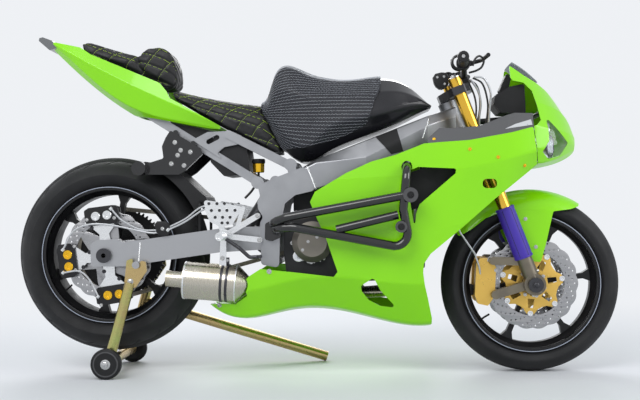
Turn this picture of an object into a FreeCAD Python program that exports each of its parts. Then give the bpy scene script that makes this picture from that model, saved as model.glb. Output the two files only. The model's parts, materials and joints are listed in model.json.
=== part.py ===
import FreeCAD, Part
import math
import os

V = FreeCAD.Vector

# Driving dimensions in millimetres and degrees. +X is forward, +Y is the rider's left, +Z is up,
# and the floor is z = 0. The rear wheel is lifted by its paddock stand.
SIZES = [
    ("wheelbase", 1400.0), ("rear_axle_rise", 101.6),
    ("front_radius", 294.0), ("front_width", 120.0), ("front_rim_radius", 219.0), ("front_rim_width", 104.0),
    ("rear_radius", 315.0), ("rear_width", 178.0), ("rear_rim_radius", 219.0), ("rear_rim_width", 156.0),
    ("tyre_wall", 9.0), ("rim_wall", 5.0), ("spoke_count", 6.0), ("spoke_width", 26.0), ("hub_radius", 34.0),
    ("front_spoke_turn", 7.0), ("rear_spoke_turn", 20.0), ("disc_waves", 18.0), ("disc_wave_depth", 5.0),
    ("rake_angle", 20.7), ("fork_offset", 35.5), ("fork_spread", 105.0), ("fork_tube_radius", 21.0),
    ("fork_cover_radius", 30.0), ("fork_slider_radius", 19.5), ("fork_length", 717.0),
    ("cover_low", 92.0), ("cover_high", 266.0), ("lower_yoke_at", 470.0), ("upper_yoke_at", 675.0),
    ("yoke_thick", 26.0), ("head_length", 173.0), ("head_radius", 34.0), ("stem_radius", 14.0),
    ("bar_radius", 11.1), ("bar_half_span", 345.0), ("bar_rise", 31.0), ("bar_ahead", 36.0),
    ("axle_radius", 12.5), ("axle_bore", 7.5), ("front_disc_radius", 150.0), ("front_disc_at", 58.0),
    ("rear_disc_radius", 148.0), ("rear_disc_at", 94.0), ("disc_thick", 5.0), ("running_gap", 5.0),
    ("sprocket_teeth", 60.0), ("front_teeth", 16.0), ("chain_pitch", 15.875), ("sprocket_at", 100.0),
    ("sprocket_thick", 5.0), ("chain_plate_gap", 9.6), ("chain_plate", 2.4), ("chain_height", 14.0),
    ("pivot_x", -160.0), ("pivot_z", 450.0), ("arm_inner", 112.0), ("arm_thick", 34.0),
    ("plate_thick", 26.0), ("fairing_wall", 4.0), ("cage_radius", 14.0),
    ("stand_tube", 17.0), ("stand_wheel_radius", 49.5), ("stand_track", 389.0), ("stand_wheel_width", 26.0),
    ("shaft_gap", 0.05),
]

doc = FreeCAD.newDocument("sport_bike")
sheet = doc.addObject("Spreadsheet::Sheet", "Sizes")
for row, (alias, value) in enumerate(SIZES, start=1):
    sheet.set("A%d" % row, alias)
    sheet.set("B%d" % row, str(value))
    sheet.setAlias("B%d" % row, alias)
doc.recompute()


def size(alias):
    return float(sheet.get(alias))


# Places worked out from the driving dimensions.
SPAN = math.sqrt(size("wheelbase") ** 2 - size("rear_axle_rise") ** 2)
REAR_X = -(SPAN + size("front_radius") - size("rear_radius")) / 2
FRONT_X = REAR_X + SPAN
FRONT_Z = size("front_radius")
REAR_Z = FRONT_Z + size("rear_axle_rise")
PIVOT_X = size("pivot_x")
PIVOT_Z = size("pivot_z")
RAKE = math.radians(size("rake_angle"))
HEAD_AT = (size("lower_yoke_at") + size("upper_yoke_at")) / 2


def fork_point(along, ahead=0.0, y=0.0):
    """World point at a distance up the fork line from the front axle and ahead of that line."""
    return V(FRONT_X - along * math.sin(RAKE) + ahead * math.cos(RAKE), y,
             FRONT_Z + along * math.cos(RAKE) + ahead * math.sin(RAKE))


FORK_FRAME = FreeCAD.Placement(V(FRONT_X, 0, FRONT_Z), FreeCAD.Rotation(V(0, 1, 0), -size("rake_angle")))
HEAD = fork_point(HEAD_AT, -size("fork_offset"))
NODES = []


def body(label):
    """An empty PartDesign body that will be written as one node."""
    item = doc.addObject("PartDesign::Body", label)
    item.Label = label
    NODES.append(item)
    return item


def feature(label, shape, placement=None):
    """A node whose shape is made by Part functions."""
    item = doc.addObject("Part::Feature", label)
    item.Label = label
    item.Shape = shape
    if placement:
        item.Placement = placement
    NODES.append(item)
    return item


def unit(vector):
    result = V(vector)
    result.normalize()
    return result


def corner_arcs(points, radius, closed=True):
    """Start, middle and end of the arc that rounds each corner; points are (a, b) or (a, b, own radius)."""
    arcs = []
    count = len(points)
    for index, point in enumerate(points):
        own = point[2] if len(point) > 2 else radius
        here = V(point[0], point[1], 0)
        if not own or (not closed and index in (0, count - 1)):
            arcs.append((here, None, here))
            continue
        before = V(points[index - 1][0], points[index - 1][1], 0) - here
        after = V(points[(index + 1) % count][0], points[(index + 1) % count][1], 0) - here
        half = before.getAngle(after) / 2
        reach = min(own / math.tan(half), 0.48 * before.Length, 0.48 * after.Length)
        bisector = unit(unit(before) + unit(after))
        centre = here + bisector * (reach / math.cos(half))
        middle = centre - bisector * (reach * math.tan(half))
        arcs.append((here + unit(before) * reach, middle, here + unit(after) * reach))
    return arcs


def outline_geometry(points, radius=0.0, closed=True):
    """Lines and arcs of a rounded polygon in the plane z = 0."""
    arcs = corner_arcs(points, radius, closed)
    edges = []
    last = len(arcs) if closed else len(arcs) - 1
    for index in range(len(arcs)):
        start, middle, end = arcs[index]
        if middle:
            edges.append(Part.Arc(start, middle, end))
        if index < last:
            following = arcs[(index + 1) % len(arcs)][0]
            if (following - end).Length > 1e-6:
                edges.append(Part.LineSegment(end, following))
    return edges


def wire(points, radius=0.0, closed=True):
    return Part.Wire([edge.toShape() for edge in outline_geometry(points, radius, closed)])


def prism(edges, y_low, y_high):
    """Prism of closed geometry given in x and z, between two values of y."""
    face = Part.Face(Part.Wire([edge.toShape() for edge in edges]))
    face.Placement = FreeCAD.Placement(V(0, y_high, 0), FreeCAD.Rotation(V(1, 0, 0), 90))
    return face.extrude(V(0, y_low - y_high, 0))


def side_prism(points, y_low, y_high, radius=0.0):
    """Prism of a rounded polygon given in x and z, between two values of y."""
    return prism(outline_geometry(points, radius), y_low, y_high)


def both_sides(shape):
    """The shape and its mirror image on the other side, as one compound."""
    return Part.makeCompound([shape, shape.mirror(V(0, 0, 0), V(0, 1, 0))])


def rod(start, end, radius):
    return Part.makeCylinder(radius, (end - start).Length, start, end - start)


def link(start, end, half, y_low, y_high):
    """Flat bar with round ends between two points given in x and z."""
    first = V(start[0], start[1], 0)
    last = V(end[0], end[1], 0)
    way = unit(last - first) * half
    side = V(-way.y, way.x, 0)
    return prism([Part.LineSegment(first + side, last + side), Part.Arc(last + side, last + way, last - side),
                  Part.LineSegment(last - side, first - side),
                  Part.Arc(first - side, first - way, first + side)],
                 y_low, y_high)


def flat_bar(start, end, wide, deep):
    """Straight box from start to end, upright across its depth."""
    way = unit(end - start)
    bar = Part.makeBox((end - start).Length, wide, deep, V(0, -wide / 2, -deep / 2))
    bar.Placement = FreeCAD.Placement(start, FreeCAD.Rotation(way, V(0, 1, 0), V(0, 0, 1), "XZY"))
    return bar


def bent_path(points, bend):
    """Straight runs through the points, joined by tangent arcs of the given bend radius."""
    edges = []
    at = V(points[0])
    for index in range(1, len(points) - 1):
        here = V(points[index])
        before = at - here
        after = V(points[index + 1]) - here
        half = before.getAngle(after) / 2
        if half > math.radians(89.5):
            edges.append(Part.LineSegment(at, here))
            at = here
            continue
        reach = min(bend / math.tan(half), 0.9 * before.Length, 0.46 * after.Length)
        bisector = unit(unit(before) + unit(after))
        middle = here + bisector * (reach / math.cos(half) - reach * math.tan(half))
        start = here + unit(before) * reach
        end = here + unit(after) * reach
        edges.append(Part.LineSegment(at, start))
        edges.append(Part.Arc(start, middle, end))
        at = end
    edges.append(Part.LineSegment(at, V(points[-1])))
    return Part.Wire([edge.toShape() for edge in edges])


def tube(points, radius, bend=60.0):
    """Solid round bar along a bent path."""
    path = bent_path(points, bend)
    start = V(points[0])
    ring = Part.Wire([Part.Circle(start, V(points[1]) - start, radius).toShape()])
    return path.makePipeShell([ring], True, False)


def section(x, rows, inset=0.0, radius=24.0, half=False):
    """Closed cross-section at x, whole or its left half; rows are (half width, z) from the bottom up."""
    bottom = rows[0][1]
    height = rows[-1][1] - bottom
    shrink = (height - 2 * inset) / height
    points = [(max(wide - inset, 2.0), bottom + inset + (z - bottom) * shrink) for wide, z in rows]
    if half:
        loop = [(-inset, points[0][1], 0)] + points + [(-inset, points[-1][1], 0)]
    else:
        loop = points + [(-y, z) for y, z in reversed(points)]
    ring = wire(loop, radius)
    ring.Placement = FreeCAD.Placement(V(x, 0, 0), FreeCAD.Rotation(V(1, 1, 1), 120))
    return ring


def envelope(table, inset=0.0, radius=24.0, half=False):
    """Loft through the sections of a table of (x, rows), inset by a wall."""
    return Part.makeLoft([section(x, rows, inset, radius, half) for x, rows in table], True, False)


def half_shell(table, wall, radius):
    """Left half of the thin wall around an envelope."""
    return envelope(table, 0.0, radius, True).cut(envelope(table, wall, radius - 1, True))


def joined_halves(shape):
    """The left half and its mirror image as one piece."""
    return shape.fuse(shape.mirror(V(0, 0, 0), V(0, 1, 0))).removeSplitter()


def fused(shapes):
    result = shapes[0].fuse(shapes[1:]) if len(shapes) > 1 else shapes[0]
    return result.removeSplitter()


def origin_plane(owner, role):
    return next(item for item in owner.Origin.OriginFeatures if item.Role == role)


def sketch_on(owner, role, name, loops, lift=0.0):
    """Sketch on one of the body's own planes from closed loops of geometry."""
    item = owner.newObject("Sketcher::SketchObject", name)
    item.AttachmentSupport = (origin_plane(owner, role), [""])
    item.MapMode = "FlatFace"
    item.AttachmentOffset = FreeCAD.Placement(V(0, 0, lift), FreeCAD.Rotation())
    for loop in loops:
        for edge in loop:
            item.addGeometry(edge, False)
    return item


def pad(owner, role, name, loops, length, lift=0.0, midplane=False, reverse=False):
    """Pad of a sketch; length is an expression of the sheet's cells."""
    item = owner.newObject("PartDesign::Pad", name)
    item.Profile = sketch_on(owner, role, name + "_sketch", loops, lift)
    item.SideType = "Symmetric" if midplane else "One side"
    item.Reversed = reverse
    item.setExpression("Length", length)
    return item


def spin(owner, name, loops):
    """Revolution of (radius, width) loops about the body's Y axis."""
    item = owner.newObject("PartDesign::Revolution", name)
    profile = sketch_on(owner, "XY_Plane", name + "_sketch", loops)
    item.Profile = profile
    item.ReferenceAxis = (profile, ["V_Axis"])
    item.Angle = 360
    return item


def polar(owner, name, originals, count):
    """Copies of features around the body's Y axis; count is an expression."""
    item = owner.newObject("PartDesign::PolarPattern", name)
    item.Originals = originals
    item.Axis = (origin_plane(owner, "Y_Axis"), [""])
    item.Angle = 360
    item.setExpression("Occurrences", count)
    owner.Tip = item
    return item


# Wheels

def tyre_profile(radius, width, rim_radius, rim_width, wall):
    """Closed cross-section of a tyre: crown arc, side walls and beads on the rim's seats."""
    crown_drop = 0.52 * (radius - rim_radius)
    half = width / 2
    seat = rim_width / 2 - 11
    lip = rim_radius + 10
    shoulder = radius - crown_drop
    bulge = (half + seat) / 2 + 4
    wall_mid = (lip + shoulder) / 2
    outer = [Part.Arc(V(shoulder, -half, 0), V(radius, 0, 0), V(shoulder, half, 0)),
             Part.Arc(V(shoulder, half, 0), V(wall_mid, bulge, 0), V(lip, seat, 0)),
             Part.LineSegment(V(lip, seat, 0), V(rim_radius, seat, 0)),
             Part.LineSegment(V(rim_radius, seat, 0), V(rim_radius, seat - 12, 0))]
    inner = [Part.Arc(V(rim_radius, seat - 12, 0), V(wall_mid, bulge - wall, 0),
                      V(shoulder - 2, half - wall, 0)),
             Part.Arc(V(shoulder - 2, half - wall, 0), V(radius - wall, 0, 0),
                      V(shoulder - 2, wall - half, 0)),
             Part.Arc(V(shoulder - 2, wall - half, 0), V(wall_mid, wall - bulge, 0),
                      V(rim_radius, 12 - seat, 0))]
    closing = [Part.LineSegment(V(rim_radius, 12 - seat, 0), V(rim_radius, -seat, 0)),
               Part.LineSegment(V(rim_radius, -seat, 0), V(lip, -seat, 0)),
               Part.Arc(V(lip, -seat, 0), V(wall_mid, -bulge, 0), V(shoulder, -half, 0))]
    return outer + inner + closing


def rim_profile(rim_radius, rim_width, wall):
    """Closed cross-section of a wheel's barrel with its flanges and drop centre."""
    half = rim_width / 2
    well = rim_radius - 15
    outer = [(rim_radius + 8, half), (rim_radius + 8, half - 5), (rim_radius, half - 8),
             (rim_radius, half - 22),
             (well, half - 36)]
    inner = [(well - wall, half - 36 - wall / 2), (rim_radius - wall, half - 20),
             (rim_radius - wall - 1, half)]
    side = outer + [(r, -y) for r, y in reversed(outer)]
    return side + [(r, -y) for r, y in reversed(inner)] + inner


def build_wheel(name, centre, radius, width, rim_radius, rim_width, hub_half, turn):
    """Tyre and spoked rim of one wheel."""
    tyre = body(name + "_tyre")
    spin(tyre, name + "_carcass", [tyre_profile(radius, width, rim_radius, rim_width, size("tyre_wall"))])
    tyre.Placement = FreeCAD.Placement(centre, FreeCAD.Rotation())
    rim = body(name + "_rim")
    bore = size("axle_radius") + size("shaft_gap")
    hub = [(bore, -hub_half), (bore, hub_half), (size("hub_radius"), hub_half),
           (size("hub_radius"), -hub_half)]
    barrel = rim_profile(rim_radius, rim_width, size("rim_wall"))
    spin(rim, name + "_barrel", [outline_geometry(barrel, 3.0), outline_geometry(hub)])
    root = size("hub_radius") - 6
    tip = rim_radius - 15 - size("rim_wall") / 2
    half = size("spoke_width") / 2
    blade = [(root, -0.9 * half), (0.5 * tip, -0.55 * half), (tip - 26, -0.7 * half), (tip, -1.7 * half),
             (tip, 1.7 * half), (tip - 26, 0.7 * half), (0.5 * tip, 0.55 * half), (root, 0.9 * half)]
    spoke = pad(rim, "XZ_Plane", name + "_spoke", [outline_geometry(blade)], "Sizes.spoke_width",
                midplane=True)
    polar(rim, name + "_spokes", [spoke], "Sizes.spoke_count")
    rim.Placement = FreeCAD.Placement(centre, FreeCAD.Rotation(V(0, 1, 0), -turn))


FRONT_AXLE = V(FRONT_X, 0, FRONT_Z)
REAR_AXLE = V(REAR_X, 0, REAR_Z)
FRONT_HUB_HALF = size("front_disc_at") - 14
REAR_HUB_HALF = size("rear_disc_at") - 12
build_wheel("front", FRONT_AXLE, size("front_radius"), size("front_width"), size("front_rim_radius"),
            size("front_rim_width"), FRONT_HUB_HALF, size("front_spoke_turn"))
build_wheel("rear", REAR_AXLE, size("rear_radius"), size("rear_width"), size("rear_rim_radius"),
            size("rear_rim_width"), REAR_HUB_HALF, size("rear_spoke_turn"))


def disc_shape(outer, ring_width, y_low, y_high, arms, first, boss, boss_low, boss_high):
    """Brake disc with a wavy edge, a spoked carrier and a boss that seats on the hub, axis along Y."""
    axis = V(0, 1, 0)
    waves = int(size("disc_waves"))
    edge = []
    for index in range(2 * waves):
        radius = outer - (index % 2) * size("disc_wave_depth")
        angle = math.pi * index / waves
        edge.append((radius * math.cos(angle), radius * math.sin(angle)))
    ring = side_prism(edge, y_low, y_high, 14.0)
    ring = ring.cut(Part.makeCylinder(outer - ring_width, y_high - y_low, V(0, y_low, 0), axis))
    centre = Part.makeCylinder(boss + 20, y_high - y_low, V(0, y_low, 0), axis)
    seat = Part.makeCylinder(boss + 6, boss_high - boss_low, V(0, boss_low, 0), axis)
    pieces = [ring, centre, seat]
    root = boss + 12
    tip = outer - ring_width + 4
    for index in range(arms):
        arm = side_prism([(root, -15), (tip, -7), (tip, 7), (root, 15)], y_low, y_high)
        arm.rotate(V(0, 0, 0), axis, -first - 360.0 * index / arms)
        pieces.append(arm)
    hole = Part.makeCylinder(boss, 400, V(0, -200, 0), axis)
    return fused(pieces).cut(hole)


THICK = size("disc_thick")
DISC_BORE = 24.0
FRONT_DISC_AT = size("front_disc_at")
REAR_DISC_AT = size("rear_disc_at")
front_disc = disc_shape(size("front_disc_radius"), 45, FRONT_DISC_AT, FRONT_DISC_AT + THICK, 7, 9.0,
                        DISC_BORE,
                        FRONT_HUB_HALF, FRONT_DISC_AT + THICK)
feature("front_discs", both_sides(front_disc), FreeCAD.Placement(FRONT_AXLE, FreeCAD.Rotation()))
rear_disc = disc_shape(size("rear_disc_radius"), 40, REAR_DISC_AT, REAR_DISC_AT + THICK, 6, 20.0, DISC_BORE,
                       REAR_HUB_HALF, REAR_DISC_AT + THICK)
feature("rear_disc", rear_disc.mirror(V(0, 0, 0), V(0, 1, 0)),
        FreeCAD.Placement(REAR_AXLE, FreeCAD.Rotation()))


# Chain drive

def pitch_radius(teeth):
    return size("chain_pitch") / (2 * math.sin(math.pi / teeth))


def build_sprocket():
    """Toothed rear sprocket with lightening holes and a boss that seats on the hub."""
    teeth = int(size("sprocket_teeth"))
    tip = pitch_radius(teeth) + 4
    item = body("sprocket")
    low = size("sprocket_at")
    blank = [(DISC_BORE, REAR_HUB_HALF), (64, REAR_HUB_HALF), (64, low), (tip - 9, low),
             (tip - 9, low + size("sprocket_thick")), (DISC_BORE, low + size("sprocket_thick"))]
    spin(item, "sprocket_blank", [outline_geometry(blank)])
    half = size("chain_pitch") * 0.36
    tooth = [(tip - 12, -half), (tip, -half * 0.35), (tip, half * 0.35), (tip - 12, half)]
    one = pad(item, "XZ_Plane", "tooth", [outline_geometry(tooth)], "Sizes.sprocket_thick", lift=-low,
              reverse=True)
    polar(item, "teeth", [one], "Sizes.sprocket_teeth")
    item.Placement = FreeCAD.Placement(REAR_AXLE, FreeCAD.Rotation())


build_sprocket()
CHAIN_AT = size("sprocket_at") + size("sprocket_thick") / 2
FRONT_SPROCKET = V(PIVOT_X + 78, CHAIN_AT, PIVOT_Z - 6)


def loop_outline(big, small, big_radius, small_radius):
    """Outline of a belt around two circles, as one wire in the XZ plane."""
    along = V(small.x - big.x, 0, small.z - big.z)
    gap = along.Length
    base = math.atan2(along.z, along.x)
    lean = math.acos((big_radius - small_radius) / gap)

    def spot(centre, radius, angle):
        return V(centre.x + radius * math.cos(angle), 0, centre.z + radius * math.sin(angle))

    upper = (spot(big, big_radius, base + lean), spot(small, small_radius, base + lean))
    lower = (spot(small, small_radius, base - lean), spot(big, big_radius, base - lean))
    return Part.Wire([
        Part.LineSegment(*upper).toShape(),
        Part.Arc(upper[1], spot(small, small_radius, base), lower[0]).toShape(),
        Part.LineSegment(*lower).toShape(),
        Part.Arc(lower[1], spot(big, big_radius, base + math.pi), upper[0]).toShape()])


def build_chain():
    """Two rows of side plates around both sprockets, joined by pins on the straight runs."""
    big = pitch_radius(size("sprocket_teeth"))
    small = pitch_radius(size("front_teeth"))
    grow = size("chain_height") / 2
    rows = []
    for side in (-1, 1):
        low = CHAIN_AT + side * size("chain_plate_gap") / 2
        outer = Part.Face(loop_outline(REAR_AXLE, FRONT_SPROCKET, big + grow, small + grow))
        inner = Part.Face(loop_outline(REAR_AXLE, FRONT_SPROCKET, big - grow, small - grow))
        band = outer.cut(inner)
        band.translate(V(0, low, 0))
        rows.append(band.extrude(V(0, side * size("chain_plate"), 0)))
    along = V(FRONT_SPROCKET.x - REAR_AXLE.x, 0, FRONT_SPROCKET.z - REAR_AXLE.z)
    lean = math.acos((big - small) / along.Length)
    base = math.atan2(along.z, along.x)
    run = math.sqrt(along.Length ** 2 - (big - small) ** 2)
    first = 70.0
    count = int((run - 100.0) / size("chain_pitch")) // 2
    for sign in (-1, 1):
        angle = base + sign * lean
        start = V(REAR_AXLE.x + big * math.cos(angle), 0, REAR_AXLE.z + big * math.sin(angle))
        end = V(FRONT_SPROCKET.x + small * math.cos(angle), 0, FRONT_SPROCKET.z + small * math.sin(angle))
        way = unit(end - start)
        for index in range(count):
            at = start + way * (first + 2 * index * size("chain_pitch"))
            at.y = CHAIN_AT - size("chain_plate_gap") / 2
            rows.append(Part.makeCylinder(5.0, size("chain_plate_gap"), at, V(0, 1, 0)))
    feature("drive_chain", fused(rows))


build_chain()

# Rear axle, swingarm and rear brakes

ARM_OUT = size("arm_inner") + size("arm_thick")
axle = Part.makeCylinder(size("axle_radius"), 2 * ARM_OUT, V(REAR_X, -ARM_OUT, REAR_Z), V(0, 1, 0))
nuts = [Part.makeCylinder(24, 14, V(REAR_X, y, REAR_Z), V(0, 1, 0)) for y in (-ARM_OUT - 14, ARM_OUT)]
axle_bore = Part.makeCylinder(size("axle_bore"), 2 * ARM_OUT + 60, V(REAR_X, -ARM_OUT - 30, REAR_Z),
                              V(0, 1, 0))
feature("rear_axle", fused([axle] + nuts).cut(axle_bore))


def build_swingarm():
    """Two box beams with axle blocks, joined by a cross-brace and the pivot tube."""
    beam = [(PIVOT_X + 22, PIVOT_Z - 36), (PIVOT_X + 22, PIVOT_Z + 38), (PIVOT_X - 130, PIVOT_Z + 34),
            (REAR_X + 62, REAR_Z + 42, 4), (REAR_X + 45, REAR_Z + 54, 6), (REAR_X - 26, REAR_Z + 50, 6),
            (REAR_X - 46, REAR_Z + 36, 8), (REAR_X - 44, REAR_Z - 36, 8), (REAR_X + 62, REAR_Z - 36),
            (PIVOT_X - 150, PIVOT_Z - 46)]
    arm = side_prism(beam, size("arm_inner"), ARM_OUT, 14.0)
    axle_clear = rod(V(REAR_X, 0, REAR_Z), V(REAR_X, 300, REAR_Z), size("axle_radius"))
    arm = arm.cut(axle_clear)
    right = arm.mirror(V(0, 0, 0), V(0, 1, 0))
    brace = side_prism([(PIVOT_X - 170, PIVOT_Z - 28), (PIVOT_X - 150, PIVOT_Z + 26),
                        (PIVOT_X - 60, PIVOT_Z + 30),
                        (PIVOT_X - 52, PIVOT_Z - 30)], -size("arm_inner"), size("arm_inner"), 16.0)
    pivot = rod(V(PIVOT_X, -size("arm_inner"), PIVOT_Z), V(PIVOT_X, size("arm_inner"), PIVOT_Z), 26)
    spools = [rod(V(REAR_X + 110, side * ARM_OUT, REAR_Z - 30),
                  V(REAR_X + 110, side * (ARM_OUT + 34), REAR_Z - 30), 12)
              for side in (-1, 1)]
    feature("swingarm", fused([arm, right, brace, pivot] + spools))


build_swingarm()

def caliper(outline, low, high, gap_low, gap_high, reach):
    """Caliper over a disc edge from an outline of (outward, along) points, with a slot for the disc."""
    block = side_prism(outline, low, high, 6.0)
    slot = Part.makeBox(100, gap_high - gap_low, 300, V(-108, gap_low, -150))
    block = block.cut(slot)
    block.translate(V(reach, 0, 0))
    return block


CALIPERS = [97.0, 188.0, 279.0]
REAR_CALIPER = [(-60, -46), (-44, -56), (-8, -56), (0, -40), (0, 40), (-8, 56), (-44, 56), (-60, 46)]
REAR_CALIPER_AT = 161.0


def build_rear_brakes():
    """Bracket plate on the axle and three calipers over the rear disc."""
    near = -REAR_DISC_AT - THICK
    gap = size("running_gap")
    low = near - gap - 16
    high = -REAR_DISC_AT + gap + 14
    inner = -size("arm_inner")
    bodies = []
    plate_parts = [Part.makeCylinder(40, 5, V(0, inner, 0), V(0, 1, 0))]
    for angle in CALIPERS:
        block = caliper(REAR_CALIPER, low, high, near - gap, -REAR_DISC_AT + gap, REAR_CALIPER_AT)
        block.rotate(V(0, 0, 0), V(0, 1, 0), -angle)
        bodies.append(block)
        arm = side_prism([(10, -22), (70, -16), (REAR_CALIPER_AT - 56, -48), (REAR_CALIPER_AT - 44, -48),
                          (REAR_CALIPER_AT - 44, 48), (REAR_CALIPER_AT - 56, 48), (70, 16), (10, 22)],
                         inner, inner + 5, 4.0)
        arm.rotate(V(0, 0, 0), V(0, 1, 0), -angle)
        plate_parts.append(arm)
    plate = fused(plate_parts).cut(Part.makeCylinder(size("axle_radius"), 400, V(0, -200, 0), V(0, 1, 0)))
    for block in bodies:
        plate = plate.cut(block)
    place = FreeCAD.Placement(REAR_AXLE, FreeCAD.Rotation())
    feature("rear_calipers", Part.makeCompound(bodies), place)
    feature("caliper_brackets", plate, place)


build_rear_brakes()

WALL = size("fairing_wall")
SEAT_GAP = 0.3

# Steering: everything here is made along the fork line and then tilted by the rake

SPREAD = size("fork_spread")
OFFSET = size("fork_offset")


def fork_pair(radius, low, high, bore=0.0):
    pieces = []
    for side in (-1, 1):
        leg = Part.makeCylinder(radius, high - low, V(0, side * SPREAD, low))
        if bore:
            leg = leg.cut(Part.makeCylinder(bore, high - low, V(0, side * SPREAD, low)))
        pieces.append(leg)
    return Part.makeCompound(pieces)


feature("fork_tubes", fork_pair(size("fork_tube_radius"), size("cover_high"), size("fork_length")),
        FORK_FRAME)
feature("fork_covers", fork_pair(size("fork_cover_radius"), size("cover_low"), size("cover_high")),
        FORK_FRAME)


FRONT_CALIPER = [(-65, -46), (-45, -75), (-12, -75), (0, -58), (0, 50), (-12, 75), (-45, 80), (-65, 46)]


def build_front_calipers():
    """A radial caliper behind each fork leg, over the rear edge of its disc."""
    gap = size("running_gap")
    block = caliper(FRONT_CALIPER, FRONT_DISC_AT - gap - 12, FRONT_DISC_AT + THICK + gap + 14,
                    FRONT_DISC_AT - gap,
                    FRONT_DISC_AT + THICK + gap, size("front_disc_radius") + 37)
    block.rotate(V(0, 0, 0), V(0, 1, 0), -156)
    pair = both_sides(block)
    feature("front_calipers", pair, FORK_FRAME)
    return pair


FRONT_CALIPERS = build_front_calipers()


CALIPER_ARMS = [((-8, 82), (-96, 118), 13.0), ((-8, 4), (-128, 12), 14.0)]


def build_feet():
    """Axle clamps under the fork covers, with lugs that carry the calipers."""
    pieces = []
    for side in (-1, 1):
        leg = Part.makeCylinder(size("fork_slider_radius") + 6, size("cover_low") + 30,
                                V(0, side * SPREAD, -30))
        clamp = Part.makeCylinder(35, 46, V(0, side * SPREAD - 23, 0), V(0, 1, 0))
        lug = fused([link(start, end, half, SPREAD - 24, SPREAD + 4) for start, end, half in CALIPER_ARMS])
        if side < 0:
            lug = lug.mirror(V(0, 0, 0), V(0, 1, 0))
        sleeve = Part.makeCylinder(size("fork_cover_radius") + SEAT_GAP, 200,
                                   V(0, side * SPREAD, size("cover_low")))
        foot = fused([leg, clamp, lug.cut(FRONT_CALIPERS).cut(sleeve)])
        bore = Part.makeCylinder(size("axle_radius"), 80, V(0, side * SPREAD - 40, 0), V(0, 1, 0))
        pieces.append(foot.cut(bore))
    feature("fork_feet", Part.makeCompound(pieces), FORK_FRAME)


build_feet()
AXLE_END = SPREAD + 32
front_axle = fused([Part.makeCylinder(size("axle_radius"), 2 * AXLE_END, V(0, -AXLE_END, 0), V(0, 1, 0)),
                    Part.makeCylinder(24, 14, V(0, -AXLE_END - 10, 0), V(0, 1, 0)),
                    Part.makeCylinder(24, 14, V(0, AXLE_END - 4, 0), V(0, 1, 0))])
front_axle = front_axle.cut(Part.makeCylinder(size("axle_bore"), 400, V(0, -200, 0), V(0, 1, 0)))
feature("front_axle", front_axle, FORK_FRAME)


def build_yokes():
    """Upper and lower yokes with the steering stem between them."""
    thick = size("yoke_thick")
    plates = []
    for low in (size("lower_yoke_at") - thick / 2, size("upper_yoke_at") - thick / 2):
        outline = [(52, 30), (34, SPREAD - 34), (36, SPREAD + 10), (18, SPREAD + 36), (-24, SPREAD + 34),
                   (-36, SPREAD + 4), (-OFFSET - 26, 30), (-OFFSET - 26, -30), (-36, -SPREAD - 4),
                   (-24, -SPREAD - 34),
                   (18, -SPREAD - 36), (36, -SPREAD - 10), (34, 34 - SPREAD), (52, -30)]
        face = Part.Face(wire(outline, 9.0))
        face.translate(V(0, 0, low))
        plates.append(face.extrude(V(0, 0, thick)))
    stem_low = size("lower_yoke_at") - thick / 2
    stem = Part.makeCylinder(size("stem_radius"), size("upper_yoke_at") - size("lower_yoke_at") + thick,
                             V(-OFFSET, 0, stem_low))
    shape = fused(plates + [stem])
    for side in (-1, 1):
        shape = shape.cut(Part.makeCylinder(size("fork_tube_radius"), 400,
                                            V(0, side * SPREAD, stem_low - 20)))
    feature("yokes", shape, FORK_FRAME)


build_yokes()

BAR_AT = size("upper_yoke_at") + size("yoke_thick") / 2


def build_handlebar():
    """One-piece tapered handlebar on two risers that stand on the upper yoke."""
    half = size("bar_half_span")
    rise = size("bar_rise")
    ahead = size("bar_ahead")
    route = [V(ahead - 17, -half, BAR_AT + rise + 30), V(ahead, -150, BAR_AT + rise + 22),
             V(ahead, -92, BAR_AT + rise), V(ahead, 92, BAR_AT + rise),
             V(ahead, 150, BAR_AT + rise + 22), V(ahead - 17, half, BAR_AT + rise + 30)]
    bar = tube(route, size("bar_radius"), 60.0)
    risers = []
    for side in (-1, 1):
        riser = Part.makeBox(36, 34, rise + 18, V(ahead - 20, side * 46 - 17, BAR_AT))
        risers.append(riser.makeFillet(6.0,
                                       [e for e in riser.Edges if abs(e.tangentAt(e.FirstParameter).z) > 0.9]))
    feature("handlebar", fused([bar] + risers), FORK_FRAME)
    return route


BAR_ROUTE = build_handlebar()


def build_bar_controls():
    """Grips, switch housings and levers on both ends of the bar."""
    pieces = []
    for side in (-1, 1):
        end = V(BAR_ROUTE[0].x, side * size("bar_half_span"), BAR_ROUTE[0].z)
        inner = V(BAR_ROUTE[1].x, side * 150, BAR_ROUTE[1].z)
        way = unit(inner - end)
        grip = rod(end, end + way * 125, 17)
        housing = rod(end + way * 127, end + way * 160, 22)
        clamp = rod(end + way * 164, end + way * 182, 20)
        bore = rod(end - way * 5, end + way * 260, size("bar_radius"))
        perch = end + way * 173
        lever_start = perch + V(22, 0, -4)
        lever = tube([lever_start, lever_start + V(34, -side * -20, -6), end + V(74, side * -14, -22),
                      end + V(70, side * 6, -24)], 6.5, 30.0)
        pieces += [grip.cut(bore), housing.cut(bore),
                   fused([clamp, rod(perch, lever_start + V(6, 0, -1), 9)]).cut(bore)
                   .fuse(lever)]
    feature("bar_controls", Part.makeCompound(pieces), FORK_FRAME)


build_bar_controls()


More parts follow.
